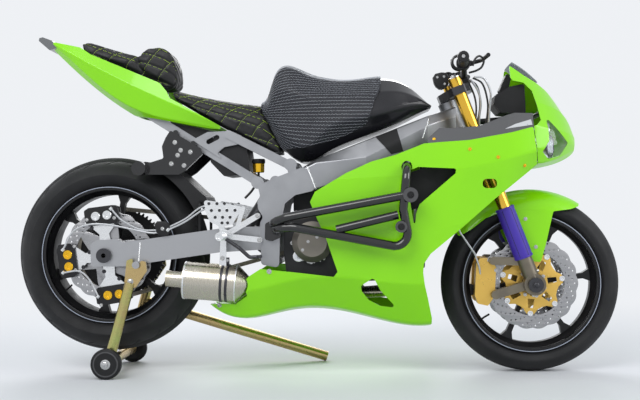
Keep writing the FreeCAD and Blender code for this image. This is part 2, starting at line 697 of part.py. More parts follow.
def build_front_fender():
    """Thin shell over the tyre with side wings that hang down inside the fork legs."""
    outer = size("front_radius") + 16
    half = SPREAD - size("fork_cover_radius") - SEAT_GAP
    wall = 3.0
    crown = 46.0

    def hoop(grow):
        profile = [Part.Arc(V(outer - crown - 30, -half + grow, 0), V(outer - grow, 0, 0),
                            V(outer - crown - 30, half - grow, 0)),
                   Part.LineSegment(V(outer - crown - 30, half - grow, 0), V(50, half - grow, 0)),
                   Part.LineSegment(V(50, half - grow, 0), V(50, -half + grow, 0)),
                   Part.LineSegment(V(50, -half + grow, 0), V(outer - crown - 30, -half + grow, 0))]
        face = Part.Face(Part.Wire([edge.toShape() for edge in profile]))
        return face.revolve(V(0, 0, 0), V(0, 1, 0), 360)

    shell = hoop(0.0).cut(hoop(wall))
    shell.translate(FRONT_AXLE)
    cover = side_prism([(-245, 150), (-236, 230), (-60, 330), (80, 330), (188, 300), (167, 268), (157, 252),
                        (128, 243), (69, 236), (58, 188), (44, 128), (27, 70), (8, 72), (-44, 90), (-80, 160),
                        (-106, 232), (-150, 215), (-195, 180)], -half - 5, half + 5, 8.0)
    cover.translate(FRONT_AXLE)
    feature("front_fender", shell.common(cover))


build_front_fender()


def build_brake_line():
    """Hose that hangs from the lower yoke down to the right front caliper."""
    low_end = size("lower_yoke_at") - size("yoke_thick") / 2
    route = [V(-150, -76, 84), V(-144, -90, 112), V(-142, -94, 160), V(-164, -94, 250), V(-138, -92, 335),
             V(-56, -88, 400), V(-20, -88, low_end - 2)]
    line = tube(route, 3.0, 50.0).cut(FRONT_CALIPERS)
    feature("front_brake_line", line, FORK_FRAME)


build_brake_line()

# Main frame

PLATE_IN = ARM_OUT
PLATE_OUT = PLATE_IN + size("plate_thick")
FAIRING = [
    (-345.0, [(60, 226), (150, 240), (186, 300), (190, 420), (188, 560), (180, 760)]),
    (-100.0, [(70, 206), (154, 220), (206, 310), (216, 470), (214, 620), (196, 790)]),
    (180.0, [(70, 184), (152, 198), (214, 316), (226, 480), (228, 640), (206, 800)]),
    (420.0, [(60, 170), (140, 184), (192, 316), (214, 480), (224, 660), (204, 830)]),
    (620.0, [(40, 440), (80, 470), (120, 520), (190, 600), (214, 700), (196, 850)]),
    (790.0, [(20, 600), (50, 620), (80, 650), (120, 680), (160, 740), (160, 850)]),
]
SPAR = [  # x, rows of (y, z) from the inner low corner round the outer side to the inner top
    (-52.0, [(PLATE_IN, 588), (PLATE_OUT, 588), (PLATE_OUT, 664), (PLATE_IN + 8, 670), (PLATE_IN, 670)]),
    (6.0, [(138, 606), (PLATE_OUT - 2, 604), (PLATE_OUT - 2, 692), (150, 702), (138, 702)]),
    (166.0, [(116, 650), (162, 645), (164, 708), (134, 764), (116, 766)]),
    (HEAD.x - 105, [(70, 762), (106, 756), (110, 812), (92, 844), (70, 846)]),
    (HEAD.x - 8, [(18, HEAD.z - 52), (52, HEAD.z - 52), (54, HEAD.z + 30), (40, HEAD.z + 62),
                  (18, HEAD.z + 62)]),
]
PIVOT_PLATE = [(-24, 176), (1, 179), (25, 191), (130, 230), (164, 153), (99, 138), (65, 111), (59, 80),
               (49, 19),
               (45, -95), (-13, -85), (-15, 50), (-6, 68), (-21, 93), (-24, 117), (-15, 136)]
FRAME_LUGS = [(-77.0, 686.0), (-184.0, 629.0)]


def build_main_frame():
    """Two box spars from the steering head to the pivot plates, one welded piece."""
    rings = []
    for x, rows in SPAR:
        ring = wire(rows, 7.0)
        ring.Placement = FreeCAD.Placement(V(x, 0, 0), FreeCAD.Rotation(V(1, 1, 1), 120))
        rings.append(ring)
    spar = Part.makeLoft(rings, True, True)
    plate = side_prism([(PIVOT_X + x, PIVOT_Z + z) for x, z in PIVOT_PLATE], PLATE_IN, PLATE_OUT, 12.0)
    ears = [rod(V(x, PLATE_IN, z), V(x, PLATE_OUT - 6, z), 20) for x, z in FRAME_LUGS]
    ears.append(link(FRAME_LUGS[0], (-64.0, 640.0), 14.0, PLATE_IN, PLATE_OUT - 6))
    head_low = size("lower_yoke_at") + size("yoke_thick") / 2 + 3
    head = Part.makeCylinder(size("head_radius"), size("head_length"), V(-OFFSET, 0, head_low))
    bore = Part.makeCylinder(size("stem_radius") + size("shaft_gap"), 500, V(-OFFSET, 0, head_low - 100))
    head.Placement = FORK_FRAME
    bore.Placement = FORK_FRAME
    crosses = [rod(V(PIVOT_X + x, -PLATE_IN, PIVOT_Z + z), V(PIVOT_X + x, PLATE_IN, PIVOT_Z + z), radius)
               for x, z, radius in ((32, 184, 17), (32, -82, 11))]
    fairing_room = envelope(FAIRING, WALL + SEAT_GAP, 20.0)
    lugs = [rod(V(180, 130, 676), V(180, 300, 676), 8).common(fairing_room)]
    half = fused([spar, plate] + ears + lugs)
    other = half.mirror(V(0, 0, 0), V(0, 1, 0))
    shape = fused([half, other, head] + crosses).cut(bore)
    feature("main_frame", shape)
    return shape


MAIN_FRAME = build_main_frame()

# Engine, covers, radiator and exhaust

ENGINE_HALF = 140.0
SMALL_BOSS = pitch_radius(size("front_teeth")) - size("chain_height") / 2 - 0.3


def build_engine():
    """Plain block of the crankcase and the leaning cylinders, stepped back for the chain."""
    case = [(-20, 300), (230, 312), (250, 430), (262, 590), (110, 618), (20, 560), (-20, 540)]
    gearbox = [(PIVOT_X + 58, 400), (PIVOT_X + 70, 305), (-10, 300), (-10, 540), (PIVOT_X + 58, 520)]
    step = CHAIN_AT - size("chain_plate_gap") / 2 - size("chain_plate") - 6
    boss = rod(V(FRONT_SPROCKET.x, step - 2, FRONT_SPROCKET.z),
               V(FRONT_SPROCKET.x, CHAIN_AT + 8, FRONT_SPROCKET.z),
               SMALL_BOSS)
    fairing_room = envelope(FAIRING, WALL + SEAT_GAP, 20.0)
    lugs = [rod(V(130, side * 130, 345), V(130, side * 300, 345), 8).common(fairing_room) for side in (-1, 1)]
    intake = side_prism([(-72, 520), (-72, 606), (-20, 640), (70, 650), (120, 600)], -100, 100, 14.0)
    shape = fused([side_prism(case, -ENGINE_HALF, ENGINE_HALF, 14.0),
                   side_prism(gearbox, -ENGINE_HALF, step, 14.0),
                   intake, boss] + lugs)
    feature("engine_block", shape)
    return shape


ENGINE = build_engine()


def round_cover(x, z, radius, side, depth):
    """Domed engine cover on one side of the block."""
    base = rod(V(x, side * ENGINE_HALF, z), V(x, side * (ENGINE_HALF + depth * 0.6), z), radius)
    dome = Part.makeCone(radius, radius * 0.72, depth * 0.4, V(x, side * (ENGINE_HALF + depth * 0.6), z),
                         V(0, side, 0))
    return fused([base, dome])


feature("engine_covers", Part.makeCompound([
    round_cover(-8, 437, 66, -1, 36), round_cover(120, 420, 56, -1, 26), round_cover(110, 415, 64, 1, 34)]))

shroud = side_prism([(292, 530), (300, 656), (398, 686), (452, 668), (452, 646), (338, 548)], 158, 162, 8.0)
feature("radiator_shrouds", both_sides(shroud))
radiator = side_prism([(326, 356), (352, 350), (366, 628), (340, 634)], -158, 158, 5.0)
hangers = [rod(V(353, y, 625), V(HEAD.x - 105, y, HEAD.z - 40), 6) for y in (-88, 88)]
feature("radiator", fused([radiator] + hangers).cut(MAIN_FRAME))


CAN_Y = 167.0
CAN_RADIUS = 60.0
CAN_FRONT = V(-250, -CAN_Y, 303)
CAN_REAR = V(-422, -CAN_Y, 317)


def build_exhaust():
    """Four header pipes, the collector under the engine and the short silencer on the right."""
    pipes = []
    for y in (-96, -32, 32, 96):
        route = [V(258, y, 560), V(296, y, 548), V(300, y * 0.9, 360), V(250, y * 0.5, 268),
                 V(120, y * 0.25 - 20, 262)]
        pipes.append(tube(route, 17, 60.0))
    way = unit(CAN_REAR - CAN_FRONT)
    mouth = CAN_FRONT - way * 36
    collector = tube([V(130, -20, 262), V(-60, -24, 262), V(-150, -118, 276), mouth + way * 6], 25, 90.0)
    can = fused([Part.makeCone(27, CAN_RADIUS, 36, mouth, way), rod(CAN_FRONT, CAN_REAR, CAN_RADIUS)])
    tip = rod(CAN_REAR - way * 2, CAN_REAR + way * 58,
              27).cut(rod(CAN_REAR + way * 12, CAN_REAR + way * 70, 24))
    shape = fused(pipes + [collector, can, tip]).cut(ENGINE)
    feature("exhaust", shape)
    return shape


EXHAUST = build_exhaust()

shock = fused([rod(V(-232, 0, PIVOT_Z + 26), V(PIVOT_X + 28, 0, PIVOT_Z + 180), 12),
               rod(V(-218, 0, PIVOT_Z + 47), V(PIVOT_X + 4, 0, PIVOT_Z + 143), 27)])

# Tank and seats

TANK = [  # x, rows of (half width, z) from the bottom up
    (-178.0, [(50, 862), (86, 872), (90, 882), (72, 892), (36, 900)]),
    (-146.0, [(74, 804), (116, 830), (120, 890), (90, 940), (38, 964)]),
    (-108.0, [(88, 738), (142, 796), (142, 930), (104, 1004), (40, 1021)]),
    (-30.0, [(108, 690), (166, 744), (168, 910), (112, 984), (40, 1000)]),
    (30.0, [(112, 716), (178, 788), (172, 906), (110, 966), (40, 981)]),
    (110.0, [(112, 754), (184, 824), (172, 906), (110, 960), (40, 973)]),
    (215.0, [(110, 792), (178, 846), (160, 920), (104, 970), (40, 983)]),
    (310.0, [(92, 834), (148, 868), (130, 915), (84, 945), (36, 956)]),
    (HEAD.x - 92, [(60, 866), (102, 873), (92, 882), (60, 888), (30, 892)]),
]
COVER_SIDE = [(-240, 1080), (216, 1080), (216, 950), (213, 925), (196, 892), (175, 827), (167, 814),
              (113, 786),
              (55, 764), (-32, 742), (-108, 739), (-240, 739)]
COVER_THICK = 7.0
TANK_CORE = [(TANK[0][0] + COVER_THICK, TANK[0][1])] + TANK[1:]
feature("fuel_tank", envelope(TANK_CORE, COVER_THICK + SEAT_GAP, 20.0))
tank_skin = envelope(TANK, 0.0, 20.0)
cover = envelope(TANK, 0.0, 20.0, True).common(side_prism(COVER_SIDE, -10, 260, 10.0))
feature("tank_cover", joined_halves(cover.cut(envelope(TANK_CORE, COVER_THICK, 20.0, True))))

RIDER_SEAT = [
    (-90.0, [(100, 690), (124, 722), (122, 800), (90, 868), (40, 886)]),
    (-172.0, [(100, 730), (124, 756), (116, 840), (84, 876), (40, 887)]),
    (-320.0, [(100, 800), (118, 830), (110, 880), (74, 900), (36, 906)]),
    (-486.0, [(94, 888), (110, 908), (98, 930), (62, 942), (30, 945)]),
]
SEAT_SIDE = [(-112, 722), (-287, 808), (-384, 862), (-470, 914), (-481, 934), (-462, 948), (-448, 948),
             (-346, 911),
             (-178.5, 885)]
TAIL_SEAT = [(-787, 1103), (-772, 1107), (-589, 1052), (-577, 1067), (-555, 1083), (-508, 1085), (-478, 1065),
             (-465, 1031), (-459, 958), (-470, 944), (-509, 950), (-594, 985), (-693, 1024), (-757, 1052)]

# Tail

TAIL = [
    (-286.0, [(80, 775), (118, 795), (124, 812), (100, 845)]),
    (-480.0, [(70, 800), (118, 842), (134, 896), (110, 985)]),
    (-620.0, [(60, 868), (104, 890), (120, 963), (88, 1040)]),
    (-760.0, [(46, 970), (80, 994), (93, 1036), (66, 1100)]),
    (-892.0, [(26, 1092), (48, 1102), (54, 1112), (30, 1130)]),
]
TAIL_SIDE = [(-889, 1112), (-785, 1088), (-748, 1063), (-509, 960), (-485, 931), (-474, 909), (-288, 804),
             (-343, 809), (-393, 818), (-542, 847), (-576, 852), (-620, 862), (-660, 860), (-767, 940),
             (-900, 1060)]
tail_shell = joined_halves(half_shell(TAIL, WALL, 8.0).common(side_prism(TAIL_SIDE, -10, 200, 6.0)))
feature("tail_fairing", tail_shell)
feature("tail_seat", side_prism(TAIL_SEAT, -74, 74, 10.0).cut(tail_shell))
tail_light = side_prism([(-930, 1114), (-928, 1124), (-916, 1126), (-884, 1114), (-866, 1090), (-893, 1082)],
                        -56, 56, 4.0)
feature("tail_light", tail_light.cut(tail_shell))

# Subframe and what hangs from it

BAR_THICK = 20.0
UPPER_BAR_IN = 92.0
BAR_DEEP = 29.0
LOWER_BAR = (V(-184, 104, 631), V(-612, 68, 898.5))
UPPER_BAR = ((-77, 684), (-284, 789))
GUSSET = [(-240, 784), (-277, 801), (-353, 798), (-404, 772), (-300, 704), (-322, 728), (-298, 748),
          (-252, 757)]
CROSS_TUBES = [(-440.0, 791.0, 94.0), (-336.0, 788.0, 94.0), (-520.0, 841.0, 76.0), (-600.0, 891.0, 103.0)]
POSTS = [(-520.0, 841.0), (-600.0, 891.0)]


def build_subframe():
    """Flat bars from the frame's lugs to the tail, with cross tubes and posts under the tail seat."""
    low = UPPER_BAR_IN
    high = low + BAR_THICK
    pieces = [flat_bar(LOWER_BAR[0], LOWER_BAR[1], BAR_THICK, BAR_DEEP),
              link(UPPER_BAR[0], UPPER_BAR[1], 14.0, low, high),
              side_prism(GUSSET, low, high - 4, 5.0).cut(link((-350, 766), (-322, 780), 8.0, 0, 200))]
    pieces += [rod(V(x, low, z), V(x, PLATE_IN, z), 16) for x, z in FRAME_LUGS]
    half = fused(pieces)
    tubes = [rod(V(x, -reach, z), V(x, reach, z), 9) for x, z, reach in CROSS_TUBES]
    above = side_prism([(-757, 1052), (-693, 1024), (-594, 985), (-509, 950), (-470, 944), (-470, 1300),
                        (-757, 1300)],
                       -90, 90)
    above.translate(V(0, 0, -SEAT_GAP))
    posts = [rod(V(x, y, z), V(x, y, z + 180), 8) for x, z in POSTS for y in (-50, 50)]
    tubes += [post.cut(above) for post in posts]
    shape = fused([half, half.mirror(V(0, 0, 0), V(0, 1, 0))] + tubes).cut(MAIN_FRAME).cut(tail_shell)
    feature("subframe", shape)
    return shape


SUBFRAME = build_subframe()
seat_front = []
for x in (-178.5, -170.0, -156.0, -142.0, -128.0, -113.0):
    cuts = tank_skin.slice(V(1, 0, 0), max(x, -177.9))
    seat_front.append((x, min(point.Z for cut in cuts for point in cut.Vertexes) - 1.0, 0))
feature("rider_seat", envelope(RIDER_SEAT, 0.0, 8.0).common(side_prism(SEAT_SIDE + seat_front, -200, 200,
                                                                       4.0)))
undertray = fused([
    side_prism([(-332, 795), (-226, 750), (-214, 660), (-300, 652), (-346, 700)], -98, 98, 12.0),
    side_prism([(-300, 792), (-400, 818), (-508, 840), (-508, 824), (-470, 800), (-400, 766), (-290, 740)],
               -84, 84, 6.0)])
feature("undertray", undertray.cut(SUBFRAME).cut(tail_shell))
feature("shock_absorber", shock.cut(MAIN_FRAME).cut(doc.getObject("swingarm").Shape))


def build_hugger():
    """Thin guard over the front of the rear tyre, on two stays from the swingarm."""
    outline = [(-575, 690), (-566, 703), (-521, 697), (-450, 667), (-361, 584), (-352, 560), (-401, 540),
               (-470, 500),
               (-600, 600)]
    hollow = side_prism(outline, -96, 96, 8.0)
    hollow.translate(V(-3.5, 0, -3.5))
    tyre_room = rod(V(REAR_X, -200, REAR_Z), V(REAR_X, 200, REAR_Z), size("rear_radius") + 8)
    shell = side_prism(outline, -100, 100, 8.0).cut(hollow).cut(tyre_room)
    stay = tube([V(-378, 97, 566), V(-378, 127, 566), V(-378, 127, 462)], 5, 12.0)
    shape = fused([shell, both_sides(stay)]).cut(doc.getObject("swingarm").Shape)
    feature("rear_hugger", shape)


build_hugger()


def build_stunt_bar():
    """Side plates on the subframe rails that carry a slider puck on each side of the tyre."""
    low = 113.0
    plate = side_prism([(-474, 804), (-374, 744), (-366, 726), (-425, 671), (-446, 658), (-550, 659),
                        (-584, 666),
                        (-584, 700), (-556, 694), (-497, 712), (-502, 751), (-490, 779)], low, low + 8, 7.0)
    puck = rod(V(-572, low + 8, 678), V(-572, low + 48, 678), 23)
    bosses = [rod(V(x, 88, z), V(x, low, z), 9) for x, z in ((-458, 796), (-400, 760))]
    side = fused([plate, puck] + bosses).cut(SUBFRAME)
    feature("stunt_bar", both_sides(side))


build_stunt_bar()

# Rear-set footrests and foot levers

def build_rearsets():
    """Forked footrest hangers with heel plates on the pivot plates; the right one carries the silencer."""
    out = PLATE_OUT + 10
    hub = (-290, 458)
    bolts = ((-182, 522), (-176, 445))
    heel = side_prism([(-355, 574), (-349, 535), (-335, 504), (-306, 489), (-278, 490), (-262, 496),
                       (-229, 548),
                       (-237, 552), (-294, 565)], out + 2, out + 6, 8.0)
    pieces = [link(hub, bolt, 9.0, out, out + 6) for bolt in bolts]
    pieces += [rod(V(x, PLATE_OUT, z), V(x, out, z), 9) for x, z in bolts]
    pieces += [link((-228, 546), (-248, 484), 7.0, out, out + 6),
               rod(V(-290, out, 458), V(-290, out + 12, 458), 20),
               rod(V(-290, out, 458), V(-290, out + 100, 458), 12), heel,
               link((-290, 458), (-300, 494), 9.0, out, out + 6)]
    side = fused(pieces)
    strap = side_prism([(-301, 455), (-283, 455), (-283, 360), (-306, 360)], -out - 6, -out, 4.0)
    right = fused([side.mirror(V(0, 0, 0), V(0, 1, 0)), strap]).cut(EXHAUST)
    feature("rearsets", Part.makeCompound([side, right]))
    pedal = tube([V(-284, out + 16, 450), V(-238, out + 22, 419), V(-206, out + 24, 390),
                  V(-172, out + 24, 392),
                  V(-168, out + 60, 394)], 6, 16.0)
    lever_hub = rod(V(-290, out - 19, 458), V(-290, out, 458), 13)
    feature("foot_controls", both_sides(Part.makeCompound([pedal.cut(side), lever_hub])))


build_rearsets()

# Crash cage

CAGE = size("cage_radius")
CAGE_Y = 264.0


def build_cage():
    """Tubes outside the fairing from the pivot plates to the spars, with slider pucks."""
    mount = side_prism([(-160, 446), (-158, 497), (-144, 504), (-112, 500), (-108, 452), (-136, 440)],
                       PLATE_OUT, PLATE_OUT + 8, 8.0)
    cap = rod(V(-137, PLATE_OUT, 466), V(-137, PLATE_OUT + 24, 466), 20)
    upper = tube([V(-130, PLATE_OUT, 488), V(-126, CAGE_Y - 18, 502), V(-84, CAGE_Y, 517),
                  V(302, CAGE_Y, 586)],
                 CAGE, 44.0)
    lower = tube([V(-124, PLATE_OUT, 470), V(-118, CAGE_Y - 18, 484), V(-62, CAGE_Y, 486),
                  V(303, CAGE_Y, 416),
                  V(280, CAGE_Y, 540), V(292, CAGE_Y, 655), V(300, 116, 720)], CAGE, 44.0)
    middle = tube([V(72, CAGE_Y, 478), V(264, CAGE_Y, 523)], CAGE, 20.0)
    side = fused([mount, cap, upper, lower, middle]).cut(MAIN_FRAME)
    pucks = fused([rod(V(302, CAGE_Y - 6, 584), V(302, CAGE_Y + 34, 584), 23),
                   rod(V(273, CAGE_Y - 4, 486), V(273, CAGE_Y + 26, 486), 18)]).cut(side)
    feature("crash_cage", both_sides(side))
    feature("cage_pucks", both_sides(pucks))


build_cage()

# Fairings

FAIRING_SIDE = [(349, 747), (399, 751), (493, 757), (628, 781), (696, 799), (711, 681), (685, 659),
                (567, 567),
                (460, 474), (368, 399), (346, 367), (344, 339), (349, 301), (361, 251), (374, 190),
                (374, 150),
                (112, 150), (-345, 170), (-345, 236), (-246, 245), (-215, 267), (-225, 292), (-225, 312),
                (-211, 328), (-172, 353), (-45, 340), (61, 327), (74, 343), (64, 372), (36, 456), (11, 510),
                (-12, 565),
                (4, 597), (102, 655), (182, 691), (257, 711)]
UPPER_VENT = [(289, 657), (330, 673), (449, 667), (447, 652), (333, 555), (322, 526), (318, 474)]
LOWER_VENT = [(183, 322), (147, 298), (150, 280), (172, 251), (208, 232), (261, 225), (237, 251), (209, 283),
              (191, 318)]
SIGNAL_HOLE = [(532, 605), (578, 605), (578, 634), (532, 634)]


def build_side_fairings():
    """Thin shell cut to the side view of the panels, with vents and room for the cage tube."""
    panel = half_shell(FAIRING, WALL, 22.0).common(side_prism(FAIRING_SIDE, 20, 300, 5.0))
    for hole, radius in ((UPPER_VENT, 6.0), (LOWER_VENT, 8.0), (SIGNAL_HOLE, 13.0)):
        panel = panel.cut(side_prism(hole, 100, 300, radius))
    panel = panel.cut(tube([V(292, CAGE_Y, 655), V(300, 116, 720)], CAGE + 3, 20.0))
    panel = panel.cut(rod(V(292, CAGE_Y, 635), V(292, CAGE_Y, 670), CAGE + 3))
    way = unit(CAN_REAR - CAN_FRONT)
    silencer = fused([rod(CAN_FRONT, CAN_REAR + way * 10, CAN_RADIUS + 6),
                      Part.makeCone(31, CAN_RADIUS + 6, 38, CAN_FRONT - way * 38, way)])
    pipe_room = tube([V(-60, -24, 262), V(-150, -118, 276), CAN_FRONT - way * 20], 28, 90.0)
    other = panel.mirror(V(0, 0, 0), V(0, 1, 0)).cut(silencer).cut(pipe_room)
    feature("side_fairings", Part.makeCompound([panel, other]))


build_side_fairings()

NOSE = [
    (612.0, [(60, 690), (170, 720), (214, 800), (176, 880), (112, 962), (50, 1040)]),
    (706.0, [(60, 672), (166, 684), (182, 730), (176, 805), (118, 890), (36, 990)]),
    (780.0, [(50, 684), (112, 698), (146, 740), (140, 790), (80, 868), (18, 915)]),
    (853.0, [(16, 722), (40, 730), (56, 750), (50, 772), (26, 784), (8, 790)]),
]
NOSE_SIDE = [(639, 967), (645, 957), (682, 952), (709, 924), (720, 869), (726, 822), (711, 806), (700, 802),
             (715, 682), (716, 650), (815, 660), (860, 720), (860, 800), (820, 880), (760, 934), (733, 953.4),
             (687, 978.4), (640, 1011)]
LENS_SIDE = [(743, 837), (820, 751), (795, 711), (751, 698), (728, 720), (751, 756), (749, 796)]
SCREEN_SIDE = [(669, 1050), (640, 1012), (687, 979), (733, 954), (745, 975), (700, 1040)]
nose_shell = half_shell(NOSE, WALL, 16.0)
lens = side_prism(LENS_SIDE, 40, 300, 6.0)
nose_cowl = joined_halves(nose_shell.common(side_prism(NOSE_SIDE, -10, 300, 3.0)).cut(lens))
feature("nose_cowl", nose_cowl)
feature("headlights", both_sides(nose_shell.common(lens)))
feature("windscreen", joined_halves(nose_shell.common(side_prism(SCREEN_SIDE, -10, 300, 2.0))))
PANEL = [  # x, half width at the low edge, low z, top z
    (362.0, 212.0, 740.0, 764.0), (400.0, 212.0, 742.0, 798.0), (450.0, 211.0, 744.0, 797.0),
    (526.0, 208.0, 752.0, 803.0), (615.0, 204.0, 765.0, 838.0), (664.0, 191.5, 775.0, 852.0),
    (700.0, 181.5, 785.0, 868.0)]


def build_cockpit():
    """Inner side panels that lean in from the fairing's top edge, and the stay that carries the nose."""
    rings = []
    for x, half, low, top in PANEL:
        lean = 0.42 * (top - low)
        ring = wire([(half - 3, low), (half, low), (half - lean, top), (half - 3 - lean, top)])
        ring.Placement = FreeCAD.Placement(V(x, 0, 0), FreeCAD.Rotation(V(1, 1, 1), 120))
        rings.append(ring)
    panel = Part.makeLoft(rings, True, True).common(envelope(FAIRING, WALL + SEAT_GAP, 20.0))
    feature("cockpit_panels", both_sides(panel))
    head_front = fork_point(HEAD_AT, size("head_radius") - OFFSET - 1)
    knee = V(640, 0, HEAD.z + 22)
    bar = rod(V(727, -300, 846), V(727, 300, 846), 8).common(envelope(NOSE, WALL + SEAT_GAP, 14.0))
    stay = fused([tube([head_front, knee, V(727, 0, 846)], 10, 40.0), bar]).cut(MAIN_FRAME)
    feature("fairing_stay", stay)
    duct = side_prism([(588, 883), (593, 914), (640, 941), (688, 950), (692, 850), (611, 856)], -70, 70, 8.0)
    box = side_prism([(610, 930), (636, 990), (652, 978), (640, 930)], -30, 30, 5.0)
    mouth = side_prism([(594, 886), (598, 910), (642, 936), (720, 948), (720, 858), (614, 861)], -66, 66, 8.0)
    feature("air_duct", fused([duct.cut(mouth), box]).cut(stay).cut(nose_cowl))


build_cockpit()

# Paddock stand

STAND_X = REAR_X + 17.0
STAND_Z = size("stand_wheel_radius")
STAND_HALF = size("stand_track") / 2
SPOOL = V(REAR_X + 110, ARM_OUT + 17, REAR_Z - 30)
TUBE = size("stand_tube")


def build_stand():
    """Uprights with hooks under the swingarm spools, an axle tube and the one-sided handle."""
    y = SPOOL.y
    upright = tube([V(STAND_X, y, STAND_Z), V(SPOOL.x - 22, y, SPOOL.z - 58)], TUBE)
    ear = side_prism([(SPOOL.x - 40, SPOOL.z - 66), (SPOOL.x - 32, SPOOL.z + 14),
                      (SPOOL.x - 12, SPOOL.z + 22),
                      (SPOOL.x - 12, SPOOL.z - 2), (SPOOL.x + 12, SPOOL.z - 2), (SPOOL.x + 12, SPOOL.z + 14),
                      (SPOOL.x + 30, SPOOL.z + 10), (SPOOL.x + 34, SPOOL.z - 20),
                      (SPOOL.x - 4, SPOOL.z - 74)],
                     y - 6, y + 6, 5.0)
    seat = rod(V(SPOOL.x, y - 20, SPOOL.z), V(SPOOL.x, y + 20, SPOOL.z), 12)
    side = fused([upright, ear]).cut(seat)
    other = side.mirror(V(0, 0, 0), V(0, 1, 0))
    axle_tube = rod(V(STAND_X, -y - 8, STAND_Z), V(STAND_X, y + 8, STAND_Z), TUBE)
    stub = rod(V(STAND_X, -STAND_HALF - 16, STAND_Z), V(STAND_X, STAND_HALF + 16, STAND_Z), 7)
    end_z = TUBE * 0.966
    handle = tube([V(STAND_X + 42, y, 222), V(25, 210, end_z)], TUBE)
    feature("stand_frame", fused([side, other, axle_tube, stub, handle]))


build_stand()


def build_stand_wheel(name, side):
    wheel = body(name)
    half = size("stand_wheel_width") / 2
    bore = 7 + size("shaft_gap")
    radius = size("stand_wheel_radius")
    profile = [(bore, -half), (bore, half), (radius - 12, half), (radius, half - 4), (radius, 4 - half),
               (radius - 12, -half)]
    spin(wheel, name + "_disc", [outline_geometry(profile, 3.0)])
    wheel.Placement = FreeCAD.Placement(V(STAND_X, side * STAND_HALF, STAND_Z), FreeCAD.Rotation())


build_stand_wheel("stand_wheel_right", -1)
build_stand_wheel("stand_wheel_left", 1)

doc.recompute()
for item in doc.Objects:
    if "Invalid" in item.State or "Error" in item.State:
        raise RuntimeError("%s failed: %s" % (item.Label, item.State))
os.makedirs("parts", exist_ok=True)
invalid = [item.Label for item in NODES if item.Shape.isNull() or not item.Shape.isValid()]
if invalid:
    raise RuntimeError("no valid shape: %s" % ", ".join(invalid))
for item in NODES:
    item.Shape.exportStep("parts/%s.step" % item.Label)
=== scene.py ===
import json
import math

import bmesh
import bpy
import numpy as np
from mathutils import Matrix, Vector
from mathutils.bvhtree import BVHTree


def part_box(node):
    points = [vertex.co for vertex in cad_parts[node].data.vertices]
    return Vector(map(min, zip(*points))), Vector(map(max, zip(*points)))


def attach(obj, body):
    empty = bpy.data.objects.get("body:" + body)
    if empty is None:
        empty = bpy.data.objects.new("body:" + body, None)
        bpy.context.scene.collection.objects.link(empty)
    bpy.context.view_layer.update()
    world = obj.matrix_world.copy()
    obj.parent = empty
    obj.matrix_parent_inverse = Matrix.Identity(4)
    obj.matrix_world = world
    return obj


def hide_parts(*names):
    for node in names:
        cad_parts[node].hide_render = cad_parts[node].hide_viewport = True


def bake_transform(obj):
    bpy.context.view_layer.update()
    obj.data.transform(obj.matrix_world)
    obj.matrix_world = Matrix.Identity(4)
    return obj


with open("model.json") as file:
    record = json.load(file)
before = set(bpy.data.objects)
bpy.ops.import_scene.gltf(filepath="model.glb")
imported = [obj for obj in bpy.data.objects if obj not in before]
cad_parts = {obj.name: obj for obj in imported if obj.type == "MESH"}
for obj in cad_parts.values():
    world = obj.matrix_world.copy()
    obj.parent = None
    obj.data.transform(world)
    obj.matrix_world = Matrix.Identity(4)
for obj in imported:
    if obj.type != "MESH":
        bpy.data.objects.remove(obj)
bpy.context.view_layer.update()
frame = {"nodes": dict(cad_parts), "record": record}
NODES = frame["nodes"]
scene = bpy.context.scene

# Camera: fitted to the tyres, axles and stand wheels in the photograph
CAMERA_PLACE = (0.1498, -3.4412, 0.539)
CAMERA_YAW = math.radians(-2.310)
CAMERA_PITCH = math.radians(0.567)
CAMERA_ROLL = math.radians(-0.371)
FOCAL_PIXELS = 1020.35
PHOTO_WIDTH = 640


def build_camera():
    data = bpy.data.cameras.new("photo_camera")
    data.sensor_width = 36.0
    data.lens = FOCAL_PIXELS / PHOTO_WIDTH * data.sensor_width
    data.clip_end = 60.0
    camera = bpy.data.objects.new("photo_camera", data)
    scene.collection.objects.link(camera)
    ahead = Vector((math.sin(CAMERA_YAW) * math.cos(CAMERA_PITCH),
                    math.cos(CAMERA_YAW) * math.cos(CAMERA_PITCH),
                    math.sin(CAMERA_PITCH)))
    right = ahead.cross(Vector((0, 0, 1))).normalized()
    up = right.cross(ahead)
    right, up = (right * math.cos(CAMERA_ROLL) + up * math.sin(CAMERA_ROLL),
                 up * math.cos(CAMERA_ROLL) - right * math.sin(CAMERA_ROLL))
    turn = Matrix((right, up, -ahead)).transposed()
    camera.matrix_world = Matrix.Translation(CAMERA_PLACE) @ turn.to_4x4()
    scene.camera = camera


def area_light(name, place, target, size, power):
    data = bpy.data.lights.new(name, "AREA")
    data.shape = "RECTANGLE"
    data.size, data.size_y = size
    data.energy = power
    lamp = bpy.data.objects.new(name, data)
    scene.collection.objects.link(lamp)
    way = Vector(target) - Vector(place)
    lamp.matrix_world = Matrix.Translation(place) @ way.to_track_quat("-Z", "Y").to_matrix().to_4x4()


BACKDROP = (0.86, 0.88, 0.91)


